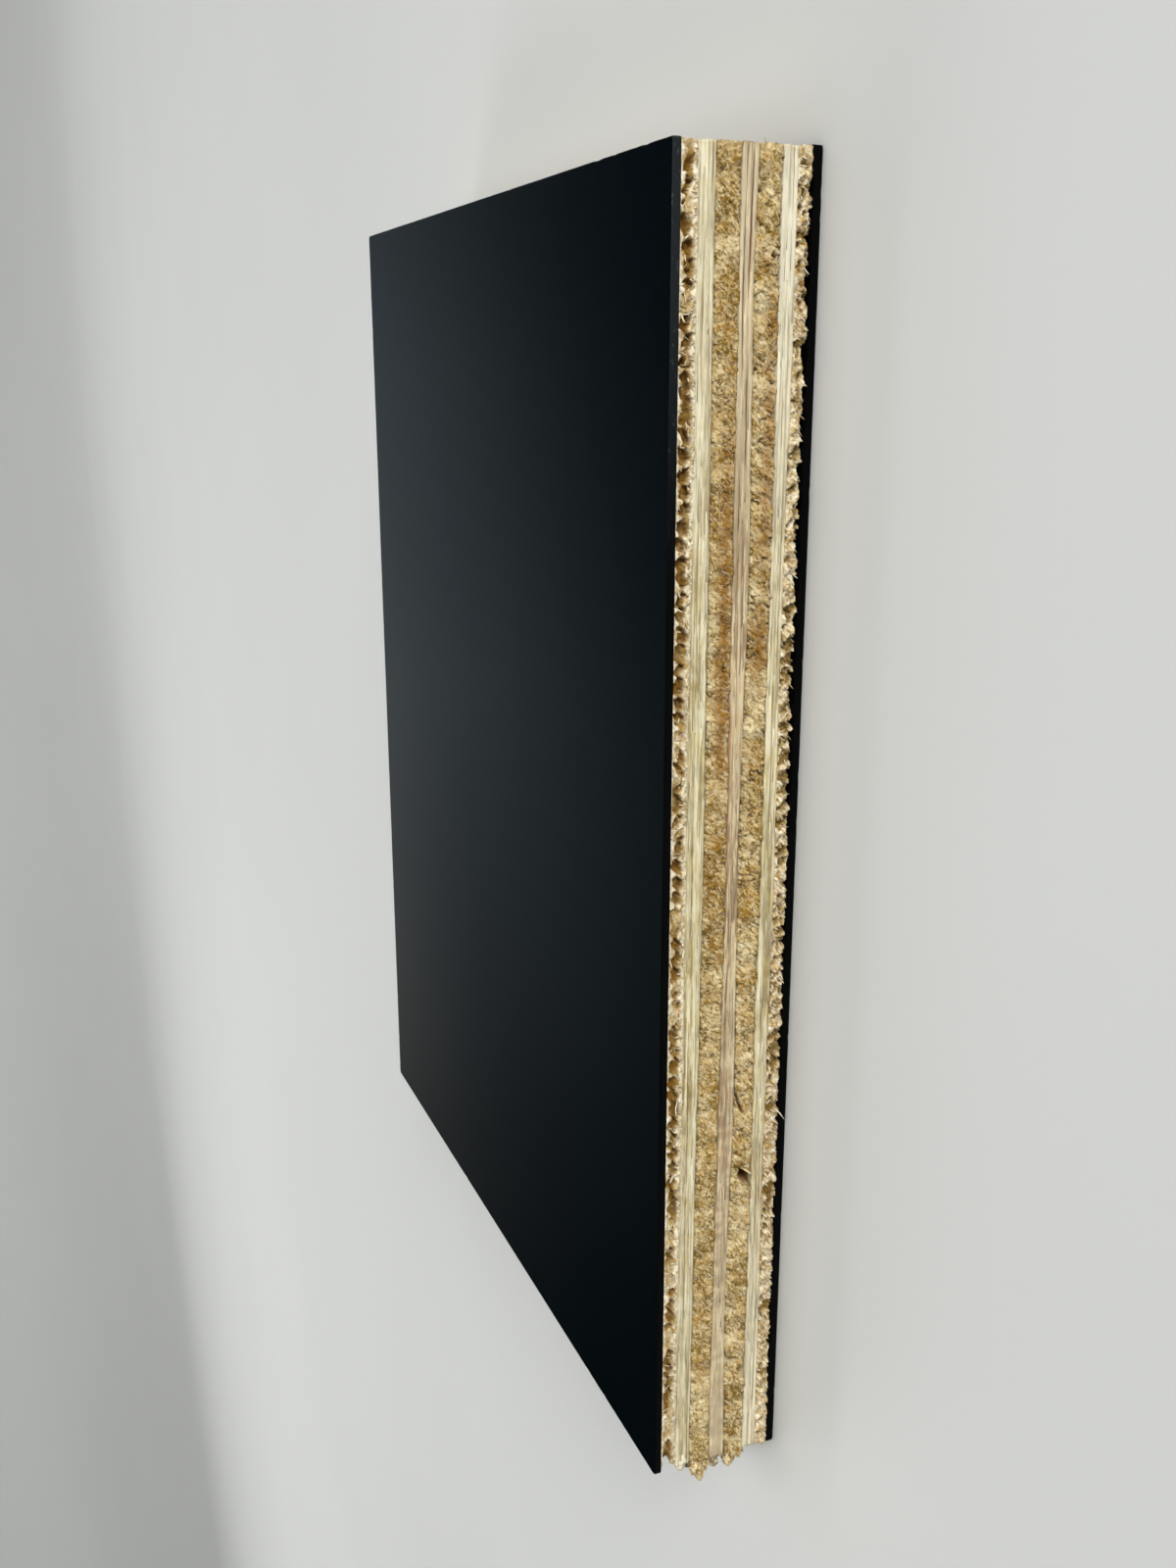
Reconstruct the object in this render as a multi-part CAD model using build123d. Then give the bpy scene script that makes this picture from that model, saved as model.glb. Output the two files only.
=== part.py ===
from build123d import *

import math
import os
from dataclasses import dataclass
from random import Random

# A cut piece of laminated plywood, in millimetres: seven crossed veneers pressed between two laminates.
# It lies flat on its lower laminate, at Z = 0, with the middle of that face at the origin.
# X runs along the sheet, Y across it. The sawn edge that faces -Y shows end grain on the odd veneers.
# The laminates are cut clean, and the wood between them is torn: back from their edges nearly
# everywhere, and out past them in tufts at the -X end.

# The sheet and its laminates
sheet_length = 166.0
sheet_width = 128.0
laminate_thickness = 1.0
laminate_corner_radius = 0.35
laminate_arris = 0.12

# The veneers, from the upper laminate down
cross_veneer_1_thickness = 2.1
long_veneer_2_thickness = 2.2
cross_veneer_3_thickness = 3.1
long_veneer_4_thickness = 2.0
cross_veneer_5_thickness = 3.0
long_veneer_6_thickness = 1.65
cross_veneer_7_thickness = 1.95

# How the glue lines between them ripple
ripple_across = 0.1
ripple_across_length = 58.0
ripple_point_pitch = 8.0
glue_overhang = 6.0

# How the saw left the wood: how far it stands back, and how deep and how wide the breaks are
wood_setback = 0.2
outer_break_depth = 1.3
outer_break_pitch = 1.0
inner_break_depth = 0.65
inner_break_pitch = 2.4
long_grain_break_depth = 0.16
long_grain_break_pitch = 11.0
tuft_reach = 2.6
tuft_pitch = 3.0
tear_seed = 29

# A corner of the first veneer is gone, and the fifth has an open core gap in the -Y edge
broken_corner_length = 4.2
broken_corner_width = 3.4
core_gap_from_end = 41.8
core_gap_width = 1.2
core_gap_height = 1.7
core_gap_lean = 1.3
core_gap_depth = 7.0
core_gap_overlap = 0.4


@dataclass(frozen=True)
class GlueLine:
    """The rippled face where two veneers meet."""

    ripple: float
    wave_length: float
    phase: float


@dataclass(frozen=True)
class Veneer:
    """One peeled sheet of wood in the stack."""

    name: str
    thickness: float
    grain_along_x: bool
    break_depth: float
    break_pitch: float
    tufts: bool


VENEERS = (
    Veneer("cross_veneer_1", cross_veneer_1_thickness, False, outer_break_depth, outer_break_pitch, False),
    Veneer("long_veneer_2", long_veneer_2_thickness, True, inner_break_depth, inner_break_pitch, False),
    Veneer("cross_veneer_3", cross_veneer_3_thickness, False, inner_break_depth, inner_break_pitch, True),
    Veneer("long_veneer_4", long_veneer_4_thickness, True, inner_break_depth, inner_break_pitch, True),
    Veneer("cross_veneer_5", cross_veneer_5_thickness, False, inner_break_depth, inner_break_pitch, True),
    Veneer("long_veneer_6", long_veneer_6_thickness, True, inner_break_depth, inner_break_pitch, False),
    Veneer("cross_veneer_7", cross_veneer_7_thickness, False, outer_break_depth, outer_break_pitch, False),
)

# From the upper one down, as the edge that faces -Y shows them
GLUE_LINES = (
    GlueLine(ripple=0.05, wave_length=71.0, phase=0.4),
    GlueLine(ripple=0.14, wave_length=168.0, phase=4.7),
    GlueLine(ripple=0.16, wave_length=172.0, phase=4.4),
    GlueLine(ripple=0.22, wave_length=63.0, phase=1.2),
    GlueLine(ripple=0.05, wave_length=94.0, phase=2.6),
    GlueLine(ripple=0.09, wave_length=66.0, phase=5.2),
)

core_thickness = sum(veneer.thickness for veneer in VENEERS)
core_top = laminate_thickness + core_thickness
sheet_thickness = core_top + laminate_thickness


def laminate(bottom, outer_side):
    """A clean-cut laminate, its corners rubbed round and its outer arris eased."""
    slab = extrude(
        RectangleRounded(sheet_length, sheet_width, laminate_corner_radius),
        laminate_thickness,
    )
    slab = chamfer(slab.faces().sort_by(Axis.Z)[outer_side].edges(), laminate_arris)
    return Pos(0, 0, bottom) * slab


def spread(length, pitch):
    """Evenly spaced places from -length/2 to length/2, about a pitch apart."""
    count = max(3, round(length / pitch))
    return [length * (i / count - 0.5) for i in range(count + 1)]


def glue_face(height, line):
    """The face at which a glue line parts the core, reaching past the sheet all round."""
    across = 2 * math.pi / ripple_across_length
    along = 2 * math.pi / line.wave_length
    points = [
        [
            Vector(
                x,
                y,
                height
                + line.ripple * math.sin(along * x + line.phase)
                + ripple_across * (math.cos(across * y + line.phase) - math.cos(line.phase)),
            )
            for y in spread(sheet_width + 2 * glue_overhang, ripple_point_pitch)
        ]
        for x in spread(sheet_length + 2 * glue_overhang, ripple_point_pitch)
    ]
    return Face.make_surface_from_array_of_points(points)


def torn_side(length, pitch, depth, reach, chance):
    """Points of one torn side, as pairs of place along it and depth in from the wood's line."""
    count = max(4, round(length / pitch))
    step = length / count
    points = []
    for i in range(count):
        place = -length / 2 + step * (i + 0.5 + chance.uniform(-0.3, 0.3))
        deep = depth * chance.uniform(0.55, 1.0) if i % 2 else depth * chance.uniform(0.0, 0.3)
        points.append((place, deep - reach * chance.uniform(0.3, 1.0)))
    return points


def torn_outline(veneer, chance):
    """The veneer's outline seen from above, anticlockwise from the corner at -X and -Y."""
    half_x = sheet_length / 2 - wood_setback
    half_y = sheet_width / 2 - wood_setback
    end_grain = (veneer.break_pitch, veneer.break_depth)
    long_grain = (long_grain_break_pitch, long_grain_break_depth)
    edge_tear, end_tear = (long_grain, end_grain) if veneer.grain_along_x else (end_grain, long_grain)
    reach = tuft_reach if veneer.tufts else 0.0
    if veneer.tufts:
        ragged_tear = (tuft_pitch, veneer.break_depth)
    else:
        ragged_tear = end_tear
    near = torn_side(2 * half_x, *edge_tear, 0.0, chance)
    right = torn_side(2 * half_y, *end_tear, 0.0, chance)
    far = torn_side(2 * half_x, *edge_tear, 0.0, chance)
    left = torn_side(2 * half_y, *ragged_tear, reach, chance)
    corners = [(-half_x, -half_y), (half_x, -half_y), (half_x, half_y), (-half_x, half_y)]
    return [
        corners[0],
        *((place, -half_y + deep) for place, deep in near),
        corners[1],
        *((half_x - deep, place) for place, deep in right),
        corners[2],
        *((-place, half_y - deep) for place, deep in far),
        corners[3],
        *((-half_x + deep, -place) for place, deep in left),
    ]


def core_gap(bottom):
    """The leaning slot of missing wood above the fifth veneer's lower glue line, from the -Y edge inwards."""
    lean = core_gap_lean / core_gap_height
    middle_x = core_gap_from_end - sheet_length / 2
    low_x = middle_x - core_gap_lean / 2 - lean * core_gap_overlap
    high_x = middle_x + core_gap_lean / 2
    half_width = core_gap_width / 2
    slot = Polyline(
        (low_x - half_width, bottom - core_gap_overlap),
        (low_x + half_width, bottom - core_gap_overlap),
        (high_x + half_width, bottom + core_gap_height),
        (high_x - half_width, bottom + core_gap_height),
        close=True,
    )
    profile = make_face(Plane.XZ * slot)
    return Pos(0, -sheet_width / 2, 0) * extrude(profile, core_gap_depth, dir=(0, 1, 0))


def broken_corner():
    """The block that is missing from the first veneer's corner at -X and -Y."""
    prism = extrude(
        make_face(
            Polyline(
                (0, 0),
                (broken_corner_length, 0),
                (broken_corner_length * 0.7, broken_corner_width * 0.6),
                (0, broken_corner_width),
                close=True,
            )
        ),
        sheet_thickness,
    )
    return Pos(-sheet_length / 2, -sheet_width / 2, 0) * prism


def veneers():
    """The seven torn veneers, as pairs of name and solid, from the upper one down."""
    chance = Random(tear_seed)
    uncut = Pos(0, 0, core_top - core_thickness / 2) * Box(
        sheet_length + glue_overhang, sheet_width + glue_overhang, core_thickness
    )
    stack = []
    height = core_top
    for veneer, line in zip(VENEERS, (*GLUE_LINES, None)):
        height -= veneer.thickness
        if line:
            upper, uncut = split_at(uncut, glue_face(height, line))
        else:
            upper = uncut
        prism = extrude(make_face(Polyline(*torn_outline(veneer, chance), close=True)), sheet_thickness)
        stack.append((veneer.name, upper & prism))
    return stack


def split_at(block, face):
    """The part of a block above a glue face, and the part below it."""
    pieces = sorted(block.split(face, keep=Keep.ALL), key=lambda piece: piece.center().Z)
    return pieces[-1], pieces[0]


def main():
    """Builds each piece and writes it to its own file."""
    pieces = dict(veneers())
    pieces["cross_veneer_1"] -= broken_corner()
    below_fifth = laminate_thickness + cross_veneer_7_thickness + long_veneer_6_thickness
    pieces["cross_veneer_5"] -= core_gap(below_fifth)
    pieces["laminate_top"] = laminate(core_top, -1)
    pieces["laminate_bottom"] = laminate(0, 0)
    os.makedirs("parts", exist_ok=True)
    for name, piece in pieces.items():
        export_step(piece, f"parts/{name}.step")


main()
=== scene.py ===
"""Dresses a cut piece of laminated plywood: seven torn veneers between two black laminates.

Blender 4.5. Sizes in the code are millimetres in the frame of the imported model: X along the sheet,
Y across it, Z up through its thickness. Meshes are written in metres.
"""

import logging
import math
from collections.abc import Callable
from dataclasses import dataclass
from dataclasses import field
from dataclasses import replace
from enum import Enum

import bpy
import numpy as np
from bpy.types import Material
from bpy.types import NodeSocket
from bpy.types import NodeTree
from bpy.types import Object
from mathutils import Matrix
from mathutils import Vector
from mathutils.bvhtree import BVHTree
from mathutils.geometry import delaunay_2d_cdt


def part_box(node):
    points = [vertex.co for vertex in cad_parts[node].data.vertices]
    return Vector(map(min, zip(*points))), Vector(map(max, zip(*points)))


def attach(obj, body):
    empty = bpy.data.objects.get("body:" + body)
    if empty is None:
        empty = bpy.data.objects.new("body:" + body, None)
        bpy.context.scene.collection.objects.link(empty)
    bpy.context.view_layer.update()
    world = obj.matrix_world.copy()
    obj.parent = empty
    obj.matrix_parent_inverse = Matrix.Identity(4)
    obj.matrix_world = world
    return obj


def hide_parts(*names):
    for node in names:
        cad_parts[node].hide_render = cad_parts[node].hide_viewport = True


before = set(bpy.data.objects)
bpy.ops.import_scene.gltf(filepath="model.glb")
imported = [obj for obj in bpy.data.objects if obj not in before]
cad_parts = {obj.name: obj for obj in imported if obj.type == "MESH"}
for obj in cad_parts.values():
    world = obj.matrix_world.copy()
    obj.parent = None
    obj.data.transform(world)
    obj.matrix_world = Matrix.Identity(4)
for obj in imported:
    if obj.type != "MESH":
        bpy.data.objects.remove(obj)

Array = np.ndarray

LOG = logging.getLogger("plywood_sheet")
MM = 0.001

# The laminates' outline, and the heights between which the wood lies
SHEET_LENGTH = 166.0
SHEET_WIDTH = 128.0
CORE_BOTTOM = 1.0
CORE_TOP = 17.0

# How far apart the vertices inside a flat face are, and how far in from its edge they begin
FACE_SPACING = 8.0
FACE_MARGIN = 5.0


def linear(hex_colour: str) -> tuple[float, float, float, float]:
    """Turns an sRGB hex colour to linear.

    Args:
        hex_colour: a colour such as "#C8B48C".

    Returns:
        Linear red, green, blue and an alpha of 1.
    """
    parts = [int(hex_colour[i : i + 2], 16) / 255.0 for i in (1, 3, 5)]
    curve = [part / 12.92 if part <= 0.04045 else ((part + 0.055) / 1.055) ** 2.4 for part in parts]
    return curve[0], curve[1], curve[2], 1.0


def add_node(
    tree: NodeTree,
    kind: str,
    settings: dict[str | int, object] | None = None,
    links: dict[str | int, NodeSocket] | None = None,
) -> bpy.types.Node:
    """Adds one node with its settings and links.

    Args:
        tree: the material's or world's node tree.
        kind: the node's type name in Blender.
        settings: values by property name, or by input socket name or index.
        links: sockets that feed the node, by input socket name or index.

    Returns:
        The new node.
    """
    node = tree.nodes.new(kind)
    for key, value in (settings or {}).items():
        if isinstance(key, str) and hasattr(node, key):
            setattr(node, key, value)
        else:
            node.inputs[key].default_value = value
    for key, socket in (links or {}).items():
        tree.links.new(socket, node.inputs[key])
    return node


class Side(Enum):
    """The four sawn sides, in the order in which a ring goes round them."""

    NEAR = 0
    RIGHT = 1
    FAR = 2
    LEFT = 3


class Grain(Enum):
    """The way a veneer's fibres run."""

    ALONG_X = 0
    ALONG_Y = 1


class Lattice:
    """Seeded noise from -1 to 1, smooth between the points of a lattice."""

    size = 1024

    def __init__(self, seed: int) -> None:
        """Draws the lattice's values.

        Args:
            seed: the same seed always gives the same noise.
        """
        generator = np.random.default_rng(seed)
        self.order = generator.permutation(self.size)
        self.values = generator.uniform(-1.0, 1.0, self.size)

    def at(self, x: Array, y: Array, z: Array) -> Array:
        """Reads the noise.

        Args:
            x: places along the first axis, in lattice steps.
            y: places along the second axis.
            z: places along the third axis.

        Returns:
            One value for each place.
        """
        whole = [np.floor(axis).astype(np.int64) for axis in np.broadcast_arrays(x, y, z)]
        part = [axis - low for axis, low in zip((x, y, z), whole)]
        ease = [p * p * (3.0 - 2.0 * p) for p in part]
        total = np.zeros(whole[0].shape)
        for dx in (0, 1):
            first = self.order[(whole[0] + dx) % self.size]
            weight_x = ease[0] if dx else 1.0 - ease[0]
            for dy in (0, 1):
                second = self.order[(first + whole[1] + dy) % self.size]
                weight_y = weight_x * (ease[1] if dy else 1.0 - ease[1])
                for dz in (0, 1):
                    weight = weight_y * (ease[2] if dz else 1.0 - ease[2])
                    total += weight * self.values[(second + whole[2] + dz) % self.size]
        return total

    def layered(self, x: Array, y: Array, z: Array, layers: int) -> Array:
        """Adds finer and weaker copies of the noise.

        Args:
            x: places along the first axis, in lattice steps.
            y: places along the second axis.
            z: places along the third axis.
            layers: how many copies.

        Returns:
            One value for each place, about -1 to 1.
        """
        total = np.zeros(np.broadcast(x, y, z).shape)
        weight = 1.0
        for i in range(layers):
            scale = 2.03**i
            total += weight * self.at(x * scale + 31.7 * i, y * scale - 17.3 * i, z * scale + 9.1 * i)
            weight *= 0.5
        return total / (2.0 - 2.0 * weight)


class Cells:
    """Seeded cells of uneven size, packed as bundles of fibres are in end grain."""

    size = 1024

    def __init__(self, seed: int) -> None:
        """Draws the cells' middles and values.

        Args:
            seed: the same seed always gives the same cells.
        """
        generator = np.random.default_rng(seed)
        self.order = generator.permutation(self.size)
        self.middle_u = generator.uniform(0.08, 0.92, self.size)
        self.middle_v = generator.uniform(0.08, 0.92, self.size)
        self.values = generator.uniform(-1.0, 1.0, self.size)

    def at(self, u: Array, v: Array) -> tuple[Array, Array, Array]:
        """Finds the nearest cell.

        Args:
            u: places along the first axis, in cells.
            v: places along the second axis, in cells.

        Returns:
            The distance to the border with the next cell, the height of the cell's own tilted
            facet, and the cell's value from -1 to 1.
        """
        whole_u = np.floor(u).astype(np.int64)
        whole_v = np.floor(v).astype(np.int64)
        nearest = np.full(u.shape, np.inf)
        second = np.full(u.shape, np.inf)
        facet = np.zeros(u.shape)
        value = np.zeros(u.shape)
        for du in (-1, 0, 1):
            column = self.order[(whole_u + du) % self.size]
            for dv in (-1, 0, 1):
                cell = self.order[(column + whole_v + dv) % self.size]
                offset_u = u - whole_u - du - self.middle_u[cell]
                offset_v = v - whole_v - dv - self.middle_v[cell]
                distance = np.hypot(offset_u, offset_v)
                closer = distance < nearest
                turn = 9.0 * self.values[cell]
                second = np.where(closer, nearest, np.minimum(second, distance))
                facet = np.where(closer, offset_u * np.cos(turn) + offset_v * np.sin(turn), facet)
                value = np.where(closer, self.values[cell], value)
                nearest = np.where(closer, distance, nearest)
        return second - nearest, facet, value


def smooth_step(value: Array, low: float, high: float) -> Array:
    """Rises smoothly from 0 to 1 while the value goes from low to high."""
    share = np.clip((value - low) / (high - low), 0.0, 1.0)
    return share * share * (3.0 - 2.0 * share)


@dataclass(frozen=True)
class Ring:
    """Places round the sheet's sawn sides, anticlockwise from the corner at -X and -Y."""

    outer: Array
    inward: Array
    side: Array
    travel: Array

    def points(self, depth: Array) -> tuple[Array, Array]:
        """Gives the X and the Y of the places that lie a depth in from the laminates' edge."""
        return self.outer[:, 0] + self.inward[:, 0] * depth, self.outer[:, 1] + self.inward[:, 1] * depth

    def share_of(self, sides: tuple[Side, ...], blend: float) -> Array:
        """Says how far each place belongs to some of the sides, blended at the corners.

        Args:
            sides: the sides that count.
            blend: over how many millimetres a corner passes from one side to the next.

        Returns:
            A share from 0 to 1 for each place.
        """
        half_x = SHEET_LENGTH / 2.0
        half_y = SHEET_WIDTH / 2.0
        gap_x = half_x - np.abs(self.outer[:, 0])
        gap_y = half_y - np.abs(self.outer[:, 1])
        on_long_side = smooth_step(gap_x - gap_y, -blend, blend)
        along = np.where(self.outer[:, 1] < 0.0, Side.NEAR.value, Side.FAR.value)
        across = np.where(self.outer[:, 0] < 0.0, Side.LEFT.value, Side.RIGHT.value)
        wanted = [side.value for side in sides]
        return on_long_side * np.isin(along, wanted) + (1.0 - on_long_side) * np.isin(across, wanted)

    def long_sides(self, margin: float) -> Array:
        """Gives 1 for the places on the two long sides, but for a margin at each corner, and 0 elsewhere."""
        on_side = np.abs(self.outer[:, 1]) > SHEET_WIDTH / 2.0 - 0.01
        return 1.0 * (on_side & (np.abs(self.outer[:, 0]) < SHEET_LENGTH / 2.0 - margin))


@dataclass(frozen=True)
class Perimeter:
    """The rectangle of the laminates' edges."""

    length: float = SHEET_LENGTH
    width: float = SHEET_WIDTH
    core_inset: float = 3.0

    def ring(self, steps: dict[Side, float]) -> Ring:
        """Spaces places round the rectangle.

        Args:
            steps: the spacing on each side, in millimetres.

        Returns:
            The ring of places.
        """
        half_x = self.length / 2.0
        half_y = self.width / 2.0
        corners = [(-half_x, -half_y), (half_x, -half_y), (half_x, half_y), (-half_x, half_y)]
        outer = []
        sides = []
        for side in Side:
            start = np.array(corners[side.value])
            end = np.array(corners[(side.value + 1) % 4])
            count = round(float(np.linalg.norm(end - start)) / steps[side])
            share = np.arange(count)[:, None] / count
            outer.append(start + (end - start) * share)
            sides.append(np.full(count, side.value))
        places = np.concatenate(outer)
        limit = np.array([half_x - self.core_inset, half_y - self.core_inset])
        inward = (np.clip(places, -limit, limit) - places) / self.core_inset
        gaps = np.linalg.norm(np.diff(places, axis=0), axis=1)
        travel = np.concatenate([[0.0], np.cumsum(gaps)])
        return Ring(places, inward, np.concatenate(sides), travel)


class PackedSolid:
    """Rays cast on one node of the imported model."""

    clear_height = 40.0
    clear_side = 4.0

    def __init__(self, node: str) -> None:
        """Builds the search tree.

        Args:
            node: the node's name.
        """
        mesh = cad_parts[node].data
        vertices = [vertex.co / MM for vertex in mesh.vertices]
        faces = [tuple(polygon.vertices) for polygon in mesh.polygons]
        self.tree = BVHTree.FromPolygons(vertices, faces)
        low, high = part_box(node)
        self.low = np.array(low) / MM
        self.high = np.array(high) / MM

    def height(self, x: float, y: float, from_above: bool) -> float:
        """Finds the solid's upper or lower face.

        Args:
            x: place along the sheet.
            y: place across the sheet.
            from_above: True for the upper face, False for the lower one.

        Returns:
            The face's height, or the solid's nearest limit where the ray misses.
        """
        way = -1.0 if from_above else 1.0
        start = Vector((x, y, -way * self.clear_height))
        hit = self.tree.ray_cast(start, Vector((0.0, 0.0, way)))[0]
        if hit is None:
            return float(self.high[2] if from_above else self.low[2])
        return hit.z

    def depth(self, ring: Ring, heights: tuple[float, ...]) -> Array:
        """Finds how far in from the laminates' edge the solid begins.

        Args:
            ring: the places to look from.
            heights: the levels to look at, of which the one that reaches out furthest counts.

        Returns:
            A depth in millimetres for each place, below 0 where the solid stands out.
        """
        reach = self.clear_side
        depths = np.full(len(ring.outer), np.inf)
        for i, (outer, inward) in enumerate(zip(ring.outer, ring.inward)):
            length = float(np.linalg.norm(inward))
            way = Vector((inward[0] / length, inward[1] / length, 0.0))
            for height in heights:
                start = Vector((outer[0] - inward[0] * reach, outer[1] - inward[1] * reach, height))
                distance = self.tree.ray_cast(start, way)[3]
                if distance is not None:
                    depths[i] = min(depths[i], distance / length - reach)
        found = np.isfinite(depths)
        places = np.arange(len(depths))
        return np.interp(places, places[found], depths[found])


class GlueSurface:
    """The rippled height at which two layers meet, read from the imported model."""

    pitch = 4.0
    margin = 2.5
    sawn_band = (1.5, 2.9)
    short_wave = 1.7
    long_wave = 9.0
    long_wave_share = 0.7
    broken_length = 3.4

    def __init__(
        self, below: PackedSolid | None, flat_height: float, seed: int, wobble: float, darkness: float
    ) -> None:
        """Samples the height over the sheet.

        Args:
            below: the veneer under the glue line, or None where the layers meet on a flat laminate.
            flat_height: the height where below is None.
            seed: seed of the small waves at the sawn edge.
            wobble: their height in millimetres.
            darkness: how dark the glue line looks in the sawn edge, from 0 to 1.
        """
        self.x = self.places(SHEET_LENGTH)
        self.y = self.places(SHEET_WIDTH)
        self.noise = Lattice(seed)
        self.wobble = wobble
        self.darkness = darkness
        if below is None:
            self.grid = np.full((len(self.x), len(self.y)), flat_height)
        else:
            self.grid = np.array([[below.height(x, y, True) for y in self.y] for x in self.x])

    def places(self, size: float) -> Array:
        """Spaces the samples over one side of the sheet."""
        half = size / 2.0 - self.margin
        return np.linspace(-half, half, round(2.0 * half / self.pitch) + 1)

    def height(self, x: Array, y: Array) -> Array:
        """Gives the height of the glue line.

        Args:
            x: places along the sheet.
            y: places across the sheet.

        Returns:
            The height of each place.
        """
        step_x = self.x[1] - self.x[0]
        step_y = self.y[1] - self.y[0]
        place_x = (x - self.x[0]) / step_x
        place_y = (y - self.y[0]) / step_y
        low_x = np.clip(np.floor(place_x).astype(int), 0, len(self.x) - 2)
        low_y = np.clip(np.floor(place_y).astype(int), 0, len(self.y) - 2)
        share_x = place_x - low_x
        share_y = place_y - low_y
        smooth = (
            self.grid[low_x, low_y] * (1 - share_x) * (1 - share_y)
            + self.grid[low_x + 1, low_y] * share_x * (1 - share_y)
            + self.grid[low_x, low_y + 1] * (1 - share_x) * share_y
            + self.grid[low_x + 1, low_y + 1] * share_x * share_y
        )
        inset = np.minimum(SHEET_LENGTH / 2.0 - np.abs(x), SHEET_WIDTH / 2.0 - np.abs(y))
        near_edge = 1.0 - smooth_step(inset, *self.sawn_band)
        waves = self.noise.layered(x / self.short_wave, y / self.short_wave, np.zeros_like(x), 2)
        long_waves = self.noise.at(x / self.long_wave, y / self.long_wave, np.full_like(x, 5.5))
        return smooth + near_edge * self.wobble * (waves + self.long_wave_share * long_waves)

    def darkened(self, x: Array, y: Array) -> Array:
        """Gives how dark the glue line looks at each place, from 0 to 1, broken up along its length."""
        broken = self.noise.layered(x / self.broken_length, y / self.broken_length, np.full_like(x, 12.5), 3)
        return np.clip(self.darkness * (0.8 + 1.1 * broken), 0.0, 1.0)


@dataclass
class Shell:
    """A growing mesh, with one value of each named attribute for each vertex."""

    vertices: list[Array] = field(default_factory=list)
    faces: list[Array] = field(default_factory=list)
    face_slots: list[Array] = field(default_factory=list)
    face_sharp: list[Array] = field(default_factory=list)
    attributes: dict[str, list[Array]] = field(default_factory=dict)
    count: int = 0

    def add(
        self,
        vertices: Array,
        faces: list[Array],
        values: dict[str, Array] | None = None,
        slot: int = 0,
        sharp: bool = False,
    ) -> None:
        """Adds vertices and the faces between them.

        Args:
            vertices: places in millimetres, one row each.
            faces: arrays of corner indices, one array for each number of corners.
            values: the attributes of the new vertices.
            slot: the material slot of the new faces.
            sharp: True where the new faces are flat and meet the others at a sharp edge.
        """
        self.vertices.append(vertices)
        for group in faces:
            self.faces.append(group + self.count)
            self.face_slots.append(np.full(len(group), slot))
            self.face_sharp.append(np.full(len(group), sharp))
        for name, value in (values or {}).items():
            self.attributes.setdefault(name, []).append(value)
        self.count += len(vertices)

    def close(
        self, edge: Array, first: int, height: Callable[[Array, Array], Array], upwards: bool, slot: int = 0
    ) -> None:
        """Closes a ring of the mesh with a broad face.

        Args:
            edge: the ring's places.
            first: the number of the ring's first vertex in the mesh.
            height: gives the height of places inside the ring.
            upwards: True where the face looks up.
            slot: the face's material slot.
        """
        inside, triangles = cap(edge[:, 0], edge[:, 1], height)
        columns = len(edge)
        corners = np.where(triangles < columns, triangles + first, triangles - columns + self.count)
        if not upwards:
            corners = corners[:, ::-1]
        blank = {name: np.zeros(len(inside)) for name in self.attributes}
        self.add(inside, [corners - self.count], blank, slot, sharp=True)

    def to_object(self, name: str, materials: list[Material]) -> Object:
        """Makes the Blender object.

        Args:
            name: the piece's name.
            materials: its materials, by slot.

        Returns:
            The object, linked to the scene.
        """
        vertices = np.concatenate(self.vertices) * MM
        corners = np.concatenate([group.ravel() for group in self.faces])
        sizes = np.concatenate([np.full(len(group), group.shape[1]) for group in self.faces])
        starts = np.concatenate([[0], np.cumsum(sizes)[:-1]])
        mesh = bpy.data.meshes.new(name)
        mesh.vertices.add(len(vertices))
        mesh.vertices.foreach_set("co", vertices.astype(np.float32).ravel())
        mesh.loops.add(len(corners))
        mesh.loops.foreach_set("vertex_index", corners.astype(np.int32))
        mesh.polygons.add(len(sizes))
        mesh.polygons.foreach_set("loop_start", starts.astype(np.int32))
        mesh.polygons.foreach_set("material_index", np.concatenate(self.face_slots).astype(np.int32))
        mesh.update(calc_edges=True)
        sharp = mesh.attributes.new("sharp_face", "BOOLEAN", "FACE")
        sharp.data.foreach_set("value", np.concatenate(self.face_sharp))
        for label, parts in self.attributes.items():
            layer = mesh.attributes.new(label, "FLOAT", "POINT")
            layer.data.foreach_set("value", np.concatenate(parts).astype(np.float32))
        for material in materials:
            mesh.materials.append(material)
        mesh.validate()
        made = bpy.data.objects.new(name, mesh)
        bpy.context.scene.collection.objects.link(made)
        return made


def wall_quads(rows: int, columns: int) -> Array:
    """Lists the faces of a closed wall, from the lowest row up.

    Args:
        rows: how many rows of vertices.
        columns: how many vertices go round a row.

    Returns:
        Four corner indices for each face, turned outwards.
    """
    row = np.arange(rows - 1)[:, None]
    column = np.arange(columns)[None, :]
    after = (column + 1) % columns
    quads = np.stack(
        [
            np.broadcast_to(row * columns + column, (rows - 1, columns)),
            row * columns + after,
            (row + 1) * columns + after,
            np.broadcast_to((row + 1) * columns + column, (rows - 1, columns)),
        ],
        axis=-1,
    )
    return quads.reshape(-1, 4)


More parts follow.
